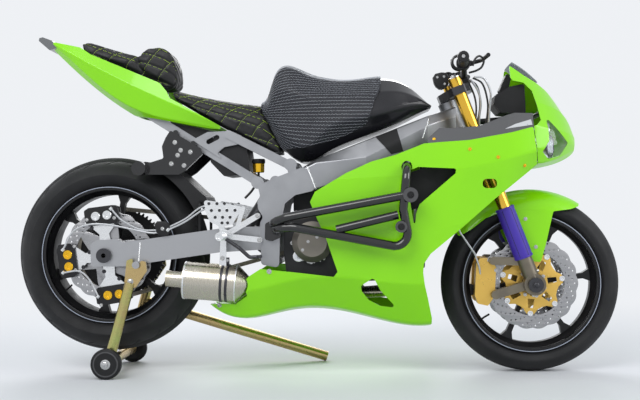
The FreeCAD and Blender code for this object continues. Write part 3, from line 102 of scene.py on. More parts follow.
def floor_paint():
    """Pale paint that fades with distance into the colour of the backdrop."""
    paint = bpy.data.materials.new("floor_paint")
    paint.use_nodes = True
    tree = paint.node_tree
    shader = tree.nodes["Principled BSDF"]
    shader.inputs["Base Color"].default_value = (0.70, 0.72, 0.75, 1)
    shader.inputs["Roughness"].default_value = 0.6
    shader.inputs["Specular IOR Level"].default_value = 0.2
    place = tree.nodes.new("ShaderNodeTexCoord")
    far = tree.nodes.new("ShaderNodeVectorMath")
    far.operation = "LENGTH"
    fade = tree.nodes.new("ShaderNodeMapRange")
    fade.interpolation_type = "SMOOTHSTEP"
    fade.inputs["From Min"].default_value = 0.9
    fade.inputs["From Max"].default_value = 3.2
    glow = tree.nodes.new("ShaderNodeEmission")
    glow.inputs["Color"].default_value = (*BACKDROP, 1)
    mix = tree.nodes.new("ShaderNodeMixShader")
    tree.links.new(place.outputs["Object"], far.inputs[0])
    tree.links.new(far.outputs["Value"], fade.inputs["Value"])
    tree.links.new(fade.outputs["Result"], mix.inputs["Fac"])
    tree.links.new(shader.outputs[0], mix.inputs[1])
    tree.links.new(glow.outputs[0], mix.inputs[2])
    tree.links.new(mix.outputs[0], tree.nodes["Material Output"].inputs["Surface"])
    return paint


def build_stage():
    """Pale floor, pale world and three soft lamps."""
    mesh = bpy.data.meshes.new("floor")
    reach = 14.0
    mesh.from_pydata([(-reach, -reach, 0), (reach, -reach, 0), (reach, reach, 0), (-reach, reach, 0)], [],
                     [(0, 1, 2, 3)])
    floor = bpy.data.objects.new("floor", mesh)
    scene.collection.objects.link(floor)
    mesh.materials.append(floor_paint())

    world = bpy.data.worlds.new("studio")
    scene.world = world
    world.use_nodes = True
    tree = world.node_tree
    tree.nodes.clear()
    output = tree.nodes.new("ShaderNodeOutputWorld")
    mix = tree.nodes.new("ShaderNodeMixShader")
    fill = tree.nodes.new("ShaderNodeBackground")
    seen = tree.nodes.new("ShaderNodeBackground")
    path = tree.nodes.new("ShaderNodeLightPath")
    either = tree.nodes.new("ShaderNodeMath")
    either.operation = "MAXIMUM"
    glossy = tree.nodes.new("ShaderNodeMath")
    glossy.operation = "MAXIMUM"
    fill.inputs["Color"].default_value = (0.90, 0.94, 1.0, 1)
    fill.inputs["Strength"].default_value = 0.50
    seen.inputs["Color"].default_value = (*BACKDROP, 1)
    seen.inputs["Strength"].default_value = 1.0
    tree.links.new(path.outputs["Is Camera Ray"], either.inputs[0])
    tree.links.new(path.outputs["Is Glossy Ray"], either.inputs[1])
    tree.links.new(either.outputs[0], glossy.inputs[0])
    tree.links.new(path.outputs["Is Transmission Ray"], glossy.inputs[1])
    tree.links.new(glossy.outputs[0], mix.inputs["Fac"])
    tree.links.new(fill.outputs[0], mix.inputs[1])
    tree.links.new(seen.outputs[0], mix.inputs[2])
    tree.links.new(mix.outputs[0], output.inputs["Surface"])
    area_light("key", (-1.4, -3.2, 3.2), (0, 0, 0.5), (3.0, 2.0), 105.0)
    area_light("front", (3.4, -1.6, 2.2), (0.2, 0, 0.5), (2.0, 2.0), 60.0)
    area_light("back", (-0.6, 3.4, 2.6), (0, 0, 0.6), (3.0, 2.0), 80.0)


# Materials

class Shade:
    """A Principled material with helpers that add procedural detail."""

    def __init__(self, name, colour, rough, metal=0.0, coat=0.0, specular=0.5):
        self.material = bpy.data.materials.new(name)
        self.material.use_nodes = True
        self.tree = self.material.node_tree
        self.shader = self.tree.nodes["Principled BSDF"]
        self.colour = colour
        self.rough = rough
        inputs = self.shader.inputs
        inputs["Base Color"].default_value = (*colour, 1)
        inputs["Roughness"].default_value = rough
        inputs["Metallic"].default_value = metal
        inputs["Coat Weight"].default_value = coat
        inputs["Coat Roughness"].default_value = 0.06
        inputs["Specular IOR Level"].default_value = specular
        self.place = self.node("ShaderNodeTexCoord").outputs["Object"]
        self.height = None

    def node(self, kind, **values):
        item = self.tree.nodes.new(kind)
        for key, value in values.items():
            setattr(item, key, value)
        return item

    def link(self, start, end):
        self.tree.links.new(start, end)

    def stretched(self, scale):
        mapping = self.node("ShaderNodeMapping")
        mapping.inputs["Scale"].default_value = scale
        self.link(self.place, mapping.inputs["Vector"])
        return mapping.outputs["Vector"]

    def noise(self, scale, detail=3.0, stretch=None):
        item = self.node("ShaderNodeTexNoise")
        item.inputs["Scale"].default_value = scale
        item.inputs["Detail"].default_value = detail
        self.link(self.stretched(stretch) if stretch else self.place, item.inputs["Vector"])
        return item.outputs["Fac"]

    def spread(self, source, low, high, from_low=0.3, from_high=0.7):
        item = self.node("ShaderNodeMapRange")
        item.inputs["From Min"].default_value = from_low
        item.inputs["From Max"].default_value = from_high
        item.inputs["To Min"].default_value = low
        item.inputs["To Max"].default_value = high
        self.link(source, item.inputs["Value"])
        return item.outputs["Result"]

    def vary_rough(self, scale, amount, stretch=None):
        fac = self.noise(scale, stretch=stretch)
        self.link(self.spread(fac, max(self.rough - amount, 0.02), self.rough + amount),
                  self.shader.inputs["Roughness"])
        return self

    def vary_colour(self, scale, other, stretch=None, low=0.35, high=0.65):
        ramp = self.node("ShaderNodeMix", data_type="RGBA")
        ramp.inputs["A"].default_value = (*self.colour, 1)
        ramp.inputs["B"].default_value = (*other, 1)
        self.link(self.spread(self.noise(scale, 4.0, stretch), 0, 1, low, high), ramp.inputs["Factor"])
        self.link(ramp.outputs["Result"], self.shader.inputs["Base Color"])
        return self

    def bump(self, source, depth, strength=1.0):
        item = self.node("ShaderNodeBump")
        item.inputs["Distance"].default_value = depth
        item.inputs["Strength"].default_value = strength
        self.link(source, item.inputs["Height"])
        if self.height:
            self.link(self.height, item.inputs["Normal"])
        self.height = item.outputs["Normal"]
        self.link(self.height, self.shader.inputs["Normal"])
        return self

    def grain(self, scale, depth, stretch=None, detail=3.0):
        return self.bump(self.noise(scale, detail, stretch), depth)


# Name, colour, roughness, other settings, then the arguments of vary_rough, vary_colour and grain
FINISHES = [
    ("lime_gloss", (0.245, 0.70, 0.0), 0.34, {"coat": 0.35, "specular": 0.3},
     (6, 0.05), (3, (0.225, 0.66, 0.0)), (900, 0.00002)),
    ("frame_silver", (0.33, 0.335, 0.35), 0.40, {"metal": 0.85},
     (30, 0.08), (8, (0.29, 0.295, 0.31)), (500, 0.00005)),
    ("beam_silver", (0.37, 0.375, 0.39), 0.36, {"metal": 0.9},
     (40, 0.08, (1, 1, 12)), None, (300, 0.00004, (1, 1, 14))),
    ("engine_grey", (0.022, 0.022, 0.024), 0.6, {"metal": 0.3}, (20, 0.1), None, (250, 0.0002)),
    ("cover_bronze", (0.235, 0.215, 0.185), 0.38, {"metal": 0.7},
     (20, 0.08), (14, (0.19, 0.175, 0.15)), (260, 0.0001)),
    ("black_metal", (0.008, 0.008, 0.009), 0.38, {"specular": 0.35}, (25, 0.08), None, (400, 0.00005)),
    ("tank_black", (0.010, 0.010, 0.013), 0.30, {"coat": 0.25, "specular": 0.35},
     (12, 0.06), None, (600, 0.00003)),
    ("black_gloss", (0.005, 0.005, 0.006), 0.14, {"coat": 0.6, "specular": 0.4},
     (20, 0.05), None, (300, 0.00002)),
    ("black_plastic", (0.009, 0.009, 0.010), 0.55, {"specular": 0.3}, (30, 0.08), None, (1200, 0.00006)),
    ("grey_plastic", (0.075, 0.076, 0.080), 0.5, {}, (30, 0.08), None, (1400, 0.00008)),
    ("puck_grey", (0.055, 0.055, 0.058), 0.5, {}, (40, 0.1), None, (500, 0.0001)),
    ("dark_steel", (0.060, 0.060, 0.066), 0.34, {"metal": 0.85}, (50, 0.1), None, (500, 0.00005)),
    ("bright_alloy", (0.74, 0.75, 0.76), 0.27, {"metal": 1.0},
     (60, 0.09, (1, 1, 5)), None, (700, 0.00004, (1, 1, 6))),
    ("chain_steel", (0.26, 0.24, 0.20), 0.38, {"metal": 0.95}, (80, 0.12), None, (500, 0.00006)),
    ("stainless", (0.50, 0.47, 0.40), 0.27, {"metal": 1.0},
     (40, 0.09, (10, 1, 1)), (9, (0.42, 0.34, 0.20), None, 0.45, 0.8), (420, 0.00002, (12, 1, 1))),
    ("zinc_yellow", (0.50, 0.37, 0.17), 0.26, {"metal": 1.0},
     (30, 0.07), (10, (0.42, 0.46, 0.16), (1, 1, 1), 0.48, 0.72), (500, 0.00004)),
    ("fork_gold", (0.78, 0.47, 0.06), 0.20, {"metal": 1.0},
     (30, 0.05, (1, 1, 0.2)), None, (600, 0.00003, (1, 1, 0.1))),
    ("cover_blue", (0.045, 0.020, 0.33), 0.48, {}, (30, 0.06), None, (900, 0.00008)),
    ("foot_bronze", (0.20, 0.175, 0.13), 0.38, {"metal": 0.75},
     (30, 0.08), (20, (0.16, 0.14, 0.11)), (400, 0.0001)),
    ("caliper_gold", (0.72, 0.46, 0.10), 0.33, {"metal": 0.65}, (30, 0.07), None, (400, 0.0001)),
    ("cap_gold", (0.85, 0.50, 0.03), 0.25, {"metal": 0.9}, (50, 0.06), None, (600, 0.00004)),
    ("hose_grey", (0.50, 0.51, 0.53), 0.35, {"metal": 0.3}, (90, 0.1), None, (2500, 0.0002)),
    ("hose_black", (0.015, 0.015, 0.016), 0.42, {}, (60, 0.08), None, (900, 0.0001)),
    ("tyre_rubber", (0.012, 0.0125, 0.0135), 0.68, {"specular": 0.3},
     (14, 0.1), (9, (0.018, 0.018, 0.019)), (260, 0.0002)),
    ("disc_steel", (0.36, 0.36, 0.37), 0.32, {"metal": 0.95}, (60, 0.08), None, (900, 0.00003)),
    ("bolt_steel", (0.50, 0.50, 0.50), 0.28, {"metal": 1.0}, (80, 0.08), None, (700, 0.00004)),
    ("red_paint", (0.55, 0.02, 0.015), 0.4, {}, (60, 0.08), None, (500, 0.00004)),
    ("seat_leather", (0.009, 0.009, 0.010), 0.50, {"specular": 0.35}, (40, 0.07), None, (420, 0.00035)),
    ("cover_leather", (0.014, 0.015, 0.020), 0.50, {"specular": 0.35}, (30, 0.07), None, (500, 0.0003)),
    ("stitch_lime", (0.42, 0.60, 0.05), 0.6, {}, (80, 0.08), None, (1800, 0.0002)),
    ("stitch_grey", (0.52, 0.55, 0.60), 0.6, {}, (80, 0.08), None, (1800, 0.0002)),
    ("smoke_lens", (0.12, 0.125, 0.13), 0.10, {"coat": 0.5}, (20, 0.04), None, (300, 0.00002)),
    ("rim_line", (0.30, 0.33, 0.40), 0.35, {}, (40, 0.05), None, (400, 0.00003)),
    ("clear_lens", (0.92, 0.95, 0.97), 0.04, {}, (20, 0.02), None, (60, 0.0002)),
    ("screen_tint", (0.30, 0.33, 0.34), 0.05, {}, (20, 0.02), None, (60, 0.00005)),
]
# Share of light let through and refractive index
SEE_THROUGH = {"clear_lens": (1.0, 1.35), "screen_tint": (0.85, 1.3)}


def make_materials():
    made = {}
    for name, colour, rough, more, rough_noise, colour_noise, grain in FINISHES:
        item = Shade(name, colour, rough, **more).vary_rough(*rough_noise)
        if colour_noise:
            item.vary_colour(*colour_noise)
        item.grain(*grain)
        if name in SEE_THROUGH:
            item.shader.inputs["Transmission Weight"].default_value = SEE_THROUGH[name][0]
            item.shader.inputs["IOR"].default_value = SEE_THROUGH[name][1]
        made[name] = item.material
    return made


MATERIALS = make_materials()

# The finish of every carried-over node whose record slot isn't its finish
FINISH = {"headlights": "clear_lens", "windscreen": "screen_tint", "cockpit_panels": "grey_plastic",
          "engine_block": "engine_grey", "swingarm": "beam_silver", "rear_hugger": "black_plastic",
          "air_duct": "black_plastic", "radiator_shrouds": "black_plastic"}


def finish_nodes():
    slots = {row["node"]: row["material_slot"] for row in frame["record"]["subparts"]}
    for name, item in NODES.items():
        item.data.materials.clear()
        item.data.materials.append(MATERIALS[FINISH.get(name, slots[name])])
        for polygon in item.data.polygons:
            polygon.use_smooth = True
        item.data.set_sharp_from_angle(angle=math.radians(35))


MM = 0.001
RIGHT, LEFT = -1, 1


def mm(x, y, z):
    return Vector((x, y, z)) * MM


def smooth_line(points, steps=6, closed=False):
    """Points of a soft curve through a few chosen ones."""
    rows = [Vector(point) for point in points]
    count = len(rows)
    line = []
    for start in range(count if closed else count - 1):
        if closed:
            before, here, there, after = (rows[(start + shift) % count] for shift in (-1, 0, 1, 2))
        else:
            here, there = rows[start], rows[start + 1]
            before = rows[start - 1] if start else here * 2 - there
            after = rows[start + 2] if start + 2 < count else there * 2 - here
        for step in range(steps):
            part = step / steps
            line.append(0.5 * (2 * here + (there - before) * part
                               + (2 * before - 5 * here + 4 * there - after) * part ** 2
                               + (3 * here - before - 3 * there + after) * part ** 3))
    if not closed:
        line.append(rows[-1])
    return line


def polar(radius, angle):
    return radius * math.cos(angle), radius * math.sin(angle)


def ring_points(x, z, radius, count=14):
    return [(x + radius * math.cos(2 * math.pi * step / count),
             z + radius * math.sin(2 * math.pi * step / count))
            for step in range(count)]


class Piece:
    """Small things on one body, gathered into one mesh with a slot for each finish."""

    def __init__(self, name, body):
        self.name = name
        self.body = body
        self.mesh = bmesh.new()
        self.finishes = []

    def slot(self, finish):
        if finish not in self.finishes:
            self.finishes.append(finish)
        return self.finishes.index(finish)

    def skin(self, rings, finish, around=True, closed=False):
        """Faces between rows of points; a row of one point is a tip."""
        index = self.slot(finish)
        rows = [[self.mesh.verts.new(point) for point in ring] for ring in rings]
        pairs = list(zip(rows, rows[1:])) + ([(rows[-1], rows[0])] if closed else [])
        for low, high in pairs:
            count = max(len(low), len(high))
            for step in range(count if around else count - 1):
                after = (step + 1) % count
                corners = [low[step % len(low)], low[after % len(low)], high[after % len(high)],
                           high[step % len(high)]]
                corners = list(dict.fromkeys(corners))
                if len(corners) > 2:
                    face = self.mesh.faces.new(corners)
                    face.material_index = index
                    face.smooth = True

    def lathe(self, profile, place, axis, finish, segments=24, hexes=(), closed=False):
        """Turned shape; rows are (radius, distance along the axis) in millimetres."""
        turn = Vector(axis).normalized().to_track_quat("Z", "Y").to_matrix()
        rings = []
        for row, (radius, along) in enumerate(profile):
            angles = [2 * math.pi * step / segments for step in range(segments if radius > 0 else 1)]
            ring = []
            for angle in angles:
                reach = radius
                if row in hexes:
                    reach *= math.cos(math.pi / 6) / math.cos(angle % (math.pi / 3) - math.pi / 6)
                ring.append(turn @ mm(reach * math.cos(angle), reach * math.sin(angle), along) + place)
            rings.append(ring)
        self.skin(rings, finish, closed=closed)

    def tube(self, points, radius, finish, sides=10, steps=6, flat=1.0):
        """Round or flattened bar along a soft curve, with rounded ends; radius in millimetres."""
        line = smooth_line(points, steps)
        side = None
        rings = [[line[0]]]
        for index, point in enumerate(line):
            way = (line[min(index + 1, len(line) - 1)] - line[max(index - 1, 0)]).normalized()
            if side is None:
                side = way.orthogonal().normalized()
            side = (side - way * side.dot(way)).normalized()
            up = way.cross(side)
            ring = []
            for step in range(sides):
                angle = 2 * math.pi * step / sides
                ring.append(point + (side * math.cos(angle) + up * math.sin(angle) * flat) * radius * MM)
            rings.append(ring)
        rings.append([line[-1]])
        self.skin(rings, finish)

    def plate(self, outline, low, high, finish, holes=(), bevel=0.0, origin=(0, 0), rounded=0):
        """Flat plate across the bike with holes; outline rows are (x, z), and its faces lie at low and high y."""
        index = self.slot(finish)
        data = bpy.data.curves.new("outline", "CURVE")
        data.dimensions = "2D"
        data.fill_mode = "BOTH"
        data.extrude = ((high - low) / 2 - bevel) * MM
        data.bevel_depth = bevel * MM
        data.bevel_resolution = 1
        loops = [outline] + list(holes)
        for number, loop in enumerate(loops):
            rows = [Vector((x, z, 0)) for x, z in loop]
            for _ in range(rounded if number == 0 else 0):
                rows = [a.lerp(b, part) for a, b in zip(rows, rows[1:] + rows[:1]) for part in (0.22, 0.78)]
            spline = data.splines.new("POLY")
            spline.points.add(len(rows) - 1)
            for point, row in zip(spline.points, rows):
                point.co = ((row.x + origin[0]) * MM, (row.y + origin[1]) * MM, 0, 1)
            spline.use_cyclic_u = True
        item = bpy.data.objects.new("outline", data)
        scene.collection.objects.link(item)
        bpy.context.view_layer.update()
        made = bpy.data.meshes.new_from_object(item.evaluated_get(bpy.context.evaluated_depsgraph_get()))
        middle = (low + high) / 2 * MM
        made.transform(Matrix(((1, 0, 0, 0), (0, 0, -1, middle), (0, 1, 0, 0), (0, 0, 0, 1))))
        for polygon in made.polygons:
            polygon.material_index = index
        self.mesh.from_mesh(made)
        bpy.data.objects.remove(item)
        bpy.data.curves.remove(data)
        bpy.data.meshes.remove(made)

    def done(self, angle=35, replaces=(), blend=None):
        mesh = bpy.data.meshes.new(self.name)
        bmesh.ops.remove_doubles(self.mesh, verts=self.mesh.verts, dist=0.00001)
        bmesh.ops.recalc_face_normals(self.mesh, faces=self.mesh.faces)
        self.mesh.to_mesh(mesh)
        self.mesh.free()
        for finish in self.finishes:
            mesh.materials.append(MATERIALS[finish])
        for polygon in mesh.polygons:
            polygon.use_smooth = True
        mesh.set_sharp_from_angle(angle=math.radians(angle))
        item = bpy.data.objects.new(self.name, mesh)
        scene.collection.objects.link(item)
        if blend:
            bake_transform(item)
        else:
            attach(item, self.body)
        if replaces:
            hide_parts(*replaces)
        return item


TREES = {}


def tree_of(node):
    if node not in TREES:
        mesh = NODES[node].data
        TREES[node] = BVHTree.FromPolygons([v.co for v in mesh.vertices], [p.vertices for p in mesh.polygons])
    return TREES[node]


def surface(node, x, z, side=RIGHT):
    """Point and outward normal where a line across the bike at (x, z) first meets a node."""
    point, normal, _, _ = tree_of(node).ray_cast(mm(x, side * 1000, z), Vector((0, -side, 0)))
    if point is None:
        point, normal, _, _ = tree_of(node).find_nearest(mm(x, side * 120, z))
    if normal.y * side < 0:
        normal = -normal
    return point, normal


def bolt(piece, place, axis, radius, finish="bolt_steel", washer=1.35):
    """Socket-head bolt with a hexagonal recess on a thin washer."""
    tall = radius * 0.9
    piece.lathe([(radius * washer, -0.6), (radius * washer, 0.7), (radius, 0.8), (radius, tall * 0.85),
                 (radius * 0.86, tall), (radius * 0.58, tall), (radius * 0.52, tall * 0.4), (0, tall * 0.35)],
                place, axis, finish, 18, hexes=(5, 6))


def nut(piece, place, axis, radius, finish="bolt_steel"):
    """Hexagonal nut on a washer with a stud's end."""
    piece.lathe([(radius * 1.3, -0.6), (radius * 1.3, 1.0), (radius, 1.0), (radius, radius * 0.8),
                 (radius * 0.6, radius * 0.95), (radius * 0.5, radius * 1.25), (0, radius * 1.3)],
                place, axis, finish, 24, hexes=(2, 3))


def bolts_on(name, body, rows, finish="bolt_steel"):
    """Bolts seated on nodes; rows are (node, side, radius, list of (x, z))."""
    piece = Piece(name, body)
    for node, side, radius, places in rows:
        for x, z in places:
            point, normal = surface(node, x, z, side)
            bolt(piece, point, normal, radius, finish)
    return piece.done()


# Wheels

class Wheel:
    def __init__(self, body, tyre):
        low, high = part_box(tyre)
        self.body, self.tyre = body, tyre
        self.centre = Vector(((low.x + high.x) / 2, 0, (low.z + high.z) / 2))
        self.x, self.z = self.centre.x / MM, self.centre.z / MM

    def at(self, radius, turn, y):
        """Point at a radius from the axle, all in metres."""
        return Vector((self.centre.x + radius * math.cos(turn), y, self.centre.z + radius * math.sin(turn)))

    def spot(self, radius, turn, y):
        """The same in millimetres."""
        return self.centre + mm(radius * math.cos(turn), y, radius * math.sin(turn))


FRONT = Wheel("front_wheel", "front_tyre")
REAR = Wheel("rear_wheel", "rear_tyre")


TYRE_STEPS = 540            # points round a tyre
TYRE_SAMPLES = 72           # steps across its section
TYRE_CORE = 0.262           # middle of the section above the axle
TYRE_LAST = math.radians(132)
GROOVE_DEPTH = 0.0028
GROOVE_HALF = 0.0034
GROOVE_EDGE = 0.0014
RIDGE_HEIGHT = 0.0006
RIDGE_ANGLES = (1.62, 1.98)


def build_tyre(wheel, repeats, reach):
    """Tyre turned from the solid's outer section, with slanted tread grooves and sidewall rings.

    Known fault: the rear tyre's last rays pass its bead, so its inside skin bulges through the crown."""
    core = Vector((wheel.centre.x, 0, wheel.centre.z + TYRE_CORE))
    profile = []
    for step in range(TYRE_SAMPLES + 1):
        angle = -TYRE_LAST + 2 * TYRE_LAST * step / TYRE_SAMPLES
        way = Vector((0, math.sin(angle), math.cos(angle)))
        point = tree_of(wheel.tyre).ray_cast(core + way * 0.2, -way)[0]
        if point:
            profile.append((angle, (point.z - wheel.centre.z), point.y))
    piece = Piece(wheel.body + "_tread_tyre", wheel.body)
    rings = []
    for angle, radius, y in profile:
        share = abs(angle) / reach
        ridge = RIDGE_HEIGHT * sum(math.exp(-((abs(angle) - middle) / 0.03) ** 2) for middle in RIDGE_ANGLES)
        ring = []
        for step in range(TYRE_STEPS):
            turn = 2 * math.pi * step / TYRE_STEPS
            phase = (turn * repeats / (2 * math.pi) - 0.75 * share + (0.5 if angle > 0 else 0.0)) % 1.0
            edge = abs(phase - 0.5) * 2 * math.pi * radius / repeats
            cut = max(0.0, min(1.0, (GROOVE_HALF * (1.25 - 0.5 * share) - edge) / GROOVE_EDGE))
            inside = max(0.0, min(1.0, (share - 0.10) / 0.05)) * max(0.0, min(1.0, (0.96 - share) / 0.06))
            long_cut = max(0.0, min(1.0, (0.0020 - abs(share - 0.42) * reach * 0.06) / 0.001))
            long_cut *= 1.0 if (turn * repeats / (2 * math.pi)) % 1.0 < 0.55 else 0.0
            depth = GROOVE_DEPTH * max(cut * inside, long_cut)
            flat = radius - depth * math.cos(angle) + ridge * math.cos(angle)
            across = y - depth * math.sin(angle) + ridge * math.sin(angle)
            ring.append(wheel.at(flat, turn, across))
        rings.append(ring)
    piece.skin(rings, "tyre_rubber", closed=False)
    last_low, last_high = profile[0], profile[-1]
    inner = []
    for part in range(5):
        share = part / 4
        y = last_high[2] + (last_low[2] - last_high[2]) * share
        radius = min(last_low[1], last_high[1]) - 0.002 + 0.03 * math.sin(math.pi * share)
        inner.append([wheel.at(radius, 2 * math.pi * step / TYRE_STEPS, y) for step in range(TYRE_STEPS)])
    piece.skin([rings[-1]] + inner + [rings[0]], "tyre_rubber")
    piece.done(angle=40, replaces=(wheel.tyre,))


def build_rim_trim(wheel, radius, half):
    """Thin pale line round both rim edges, and the valve stem."""
    piece = Piece(wheel.body + "_rim_trim", wheel.body)
    for side in (RIGHT, LEFT):
        place = wheel.centre + mm(0, side * half, 0)
        piece.lathe([(radius, -0.4), (radius + 2.6, -0.4), (radius + 2.6, 0.5), (radius, 0.5)], place,
                    (0, side, 0),
                    "rim_line", 120, closed=True)
    stem = wheel.centre + mm(-0.80 * (radius - 16), -20, -0.6 * (radius - 16))
    inward = (wheel.centre - stem)
    inward.y = 0
    piece.tube([stem, stem + inward.normalized() * 0.018 + mm(0, -6, 0),
                stem + inward.normalized() * 0.034 + mm(0, -18, 0)],
               3.2, "black_plastic", 10, 4)
    piece.done()


def wavy_ring(outer, depth, waves, count):
    """Outline of a disc whose edge swings in and out."""
    rows = []
    for step in range(count):
        angle = 2 * math.pi * step / count
        wave = 0.5 + 0.5 * math.cos(waves * angle)
        radius = outer - depth * (1 - wave ** 0.6)
        rows.append(polar(radius, angle))
    return rows


def hole_rows(rows, first=0.0):
    """Drilled holes; rows are (radius, count, hole radius, turn in steps)."""
    holes = []
    for radius, count, size, turn in rows:
        for step in range(count):
            angle = first + 2 * math.pi * (step + turn) / count
            holes.append(ring_points(*polar(radius, angle), size, 10))
    return holes


def carrier_outline(arms, first, low, reach, spread):
    """Outline of a disc carrier with pointed arms."""
    rows = []
    for arm in range(arms):
        middle = math.radians(first) + 2 * math.pi * arm / arms
        for turn, radius in ((-0.5, low), (-spread, reach - 14), (-spread * 0.45, reach),
                             (spread * 0.45, reach),
                             (spread, reach - 14)):
            angle = middle + turn * 2 * math.pi / arms
            rows.append(polar(radius, angle))
    return rows


def build_front_discs():
    low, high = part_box("front_discs")
    thick = 5.0
    piece = Piece("drilled_front_discs", "front_wheel")
    place = (FRONT.x, FRONT.z)
    for side in (RIGHT, LEFT):
        outer_face = high.y / MM if side == LEFT else -low.y / MM
        faces = sorted((side * outer_face, side * (outer_face - thick)))
        holes = [ring_points(0, 0, 106, 72)]
        holes += hole_rows([(139, 21, 3.2, 0.0), (131, 21, 3.2, 0.33), (122, 21, 3.2, 0.66),
                            (114, 21, 2.6, 0.0)])
        piece.plate(wavy_ring(150, 5, 18, 216), faces[0], faces[1], "disc_steel", holes, 0.5, place)
        inner = []
        for arm in range(7):
            angle = math.radians(9) + 2 * math.pi * arm / 7
            rows = [(52, -0.22), (82, -0.10), (82, 0.10), (52, 0.22)]
            inner.append([polar(radius, angle + turn) for radius, turn in rows])
        inner.append(ring_points(0, 0, 34, 40))
        piece.plate(carrier_outline(7, 9, 84, 101, 0.30), faces[0] + 0.6, faces[1] - 0.6, "caliper_gold",
                    inner, 0.5,
                    place)
        for arm in range(7):
            angle = math.radians(9) + 2 * math.pi * arm / 7
            centre = FRONT.spot(99, angle, side * (outer_face - thick / 2))
            piece.lathe([(0, -4), (9, -4), (9.6, -3), (9.6, 3), (9, 4.2), (5.2, 4.2), (4.4, 2.4), (0, 2.2)],
                        centre,
                        (0, side, 0), "bright_alloy", 20)
            centre = FRONT.spot(43, angle + 0.4, side * (outer_face - 0.4))
            bolt(piece, centre, (0, side, 0), 4.6)
    piece.done(replaces=("front_discs",))


def build_rear_disc():
    piece = Piece("drilled_rear_disc", "rear_wheel")
    place = (REAR.x, REAR.z)
    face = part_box("rear_disc")[0].y / MM
    holes = [ring_points(0, 0, 108, 72)]
    holes += hole_rows([(138, 21, 3.4, 0.0), (130, 21, 3.4, 0.33), (122, 21, 3.4, 0.66), (114, 21, 2.8, 0.0)])
    piece.plate(wavy_ring(148, 5, 18, 216), face, face + 5, "disc_steel", holes, 0.5, place)
    piece.plate(carrier_outline(6, 20, 60, 111, 0.17), face + 0.6, face + 4.4, "disc_steel",
                [ring_points(0, 0, 32, 40)], 0.5, place)
    for arm in range(6):
        angle = math.radians(20) + 2 * math.pi * arm / 6
        centre = REAR.spot(48, angle, face - 0.3)
        bolt(piece, centre, (0, -1, 0), 5.0)
    piece.lathe([(32, 0), (44, 0), (46, -2), (46, -8), (40, -10), (32, -10)],
                REAR.centre + mm(0, face + 9, 0),
                (0, 1, 0), "black_metal", 48, closed=True)
    piece.done(replaces=("rear_disc",))


# Soft parts

def field_lines(item, field, name, finish, keep, dash, lift=0.0005, thick=0.0006):
    """Thread along the lines where a field over a mesh passes a whole number."""
    mesh = item.data
    mesh.calc_loop_triangles()
    values = [field(v.co) for v in mesh.vertices]
    piece = Piece(name, "root")
    for triangle in mesh.loop_triangles:
        corners = list(triangle.vertices)
        rows = [values[i] for i in corners]
        if max(rows) - min(rows) > 0.8:
            continue
        level = math.ceil(min(rows))
        if level > max(rows) or not keep(triangle.normal):
            continue
        cuts = []
        for first, second in ((0, 1), (1, 2), (2, 0)):
            a, b = rows[first], rows[second]
            if (a - level) * (b - level) < 0:
                part = (level - a) / (b - a)
                cuts.append(mesh.vertices[corners[first]].co.lerp(mesh.vertices[corners[second]].co, part))
        if len(cuts) != 2 or (cuts[0] - cuts[1]).length < 0.0004:
            continue
        start, end = cuts
        if dash((start + end) / 2):
            continue
        up = triangle.normal
        way = (end - start).normalized()
        side = way.cross(up) * thick
        start, end = start - way * 0.0003, end + way * 0.0003
        rings = []
        for point, share in ((start, 0.7), (start.lerp(end, 0.5), 1.0), (end, 0.7)):
            rings.append([point - side * share, point + up * (lift + thick) * share, point + side * share])
        piece.skin(rings, finish, around=False)
    return piece.done(angle=60)


def vertex_rows(mesh, name):
    rows = np.empty(len(mesh.vertices) * 3, np.float32)
    mesh.vertices.foreach_get(name, rows)
    return rows.reshape(-1, 3)


def place_vertices(mesh, rows):
    mesh.vertices.foreach_set("co", rows.astype(np.float32).ravel())
    mesh.update()


def padded_copy(node, name, finish, cap, pressure=4.0, size=0.0045, shrink=0.002):
    """Soft copy of a solid, swollen by a short cloth simulation and softened."""
    mesh = NODES[node].data.copy()
    item = bpy.data.objects.new(name, mesh)
    scene.collection.objects.link(item)
    mesh.materials.clear()
    mesh.materials.append(MATERIALS[finish])
    bpy.context.view_layer.objects.active = item
    for other in bpy.context.selected_objects:
        other.select_set(False)
    item.select_set(True)
    remesh = item.modifiers.new("remesh", "REMESH")
    remesh.mode = "VOXEL"
    remesh.voxel_size = size
    bpy.ops.object.modifier_apply(modifier=remesh.name)
    relax = item.modifiers.new("relax", "SMOOTH")
    relax.factor = 0.5
    relax.iterations = 6
    bpy.ops.object.modifier_apply(modifier=relax.name)
    rest = vertex_rows(mesh, "co") - vertex_rows(mesh, "normal") * shrink
    place_vertices(mesh, rest)
    cloth = item.modifiers.new("cloth", "CLOTH")
    cloth.settings.use_pressure = True
    cloth.settings.uniform_pressure_force = pressure
    cloth.settings.effector_weights.gravity = 0.0
    cloth.settings.quality = 4
    for number in range(1, 21):
        scene.frame_set(number)
    bpy.ops.object.modifier_apply(modifier=cloth.name)
    scene.frame_set(1)
    move = vertex_rows(mesh, "co") - rest
    length = np.maximum(np.linalg.norm(move, axis=1, keepdims=True), 1e-9)
    place_vertices(mesh, rest + move * np.minimum(1.0, cap / length))
    finer = item.modifiers.new("finer", "SUBSURF")
    finer.levels = 1
    bpy.ops.object.modifier_apply(modifier=finer.name)
    for polygon in item.data.polygons:
        polygon.use_smooth = True
    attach(item, "root")
    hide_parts(node)
    return item


QUILT_ALONG, QUILT_ACROSS = 0.034, 0.0566
QUILT_ALONG_WAY, QUILT_ACROSS_WAY = (0.37, 0.93), (0.80, -0.60)


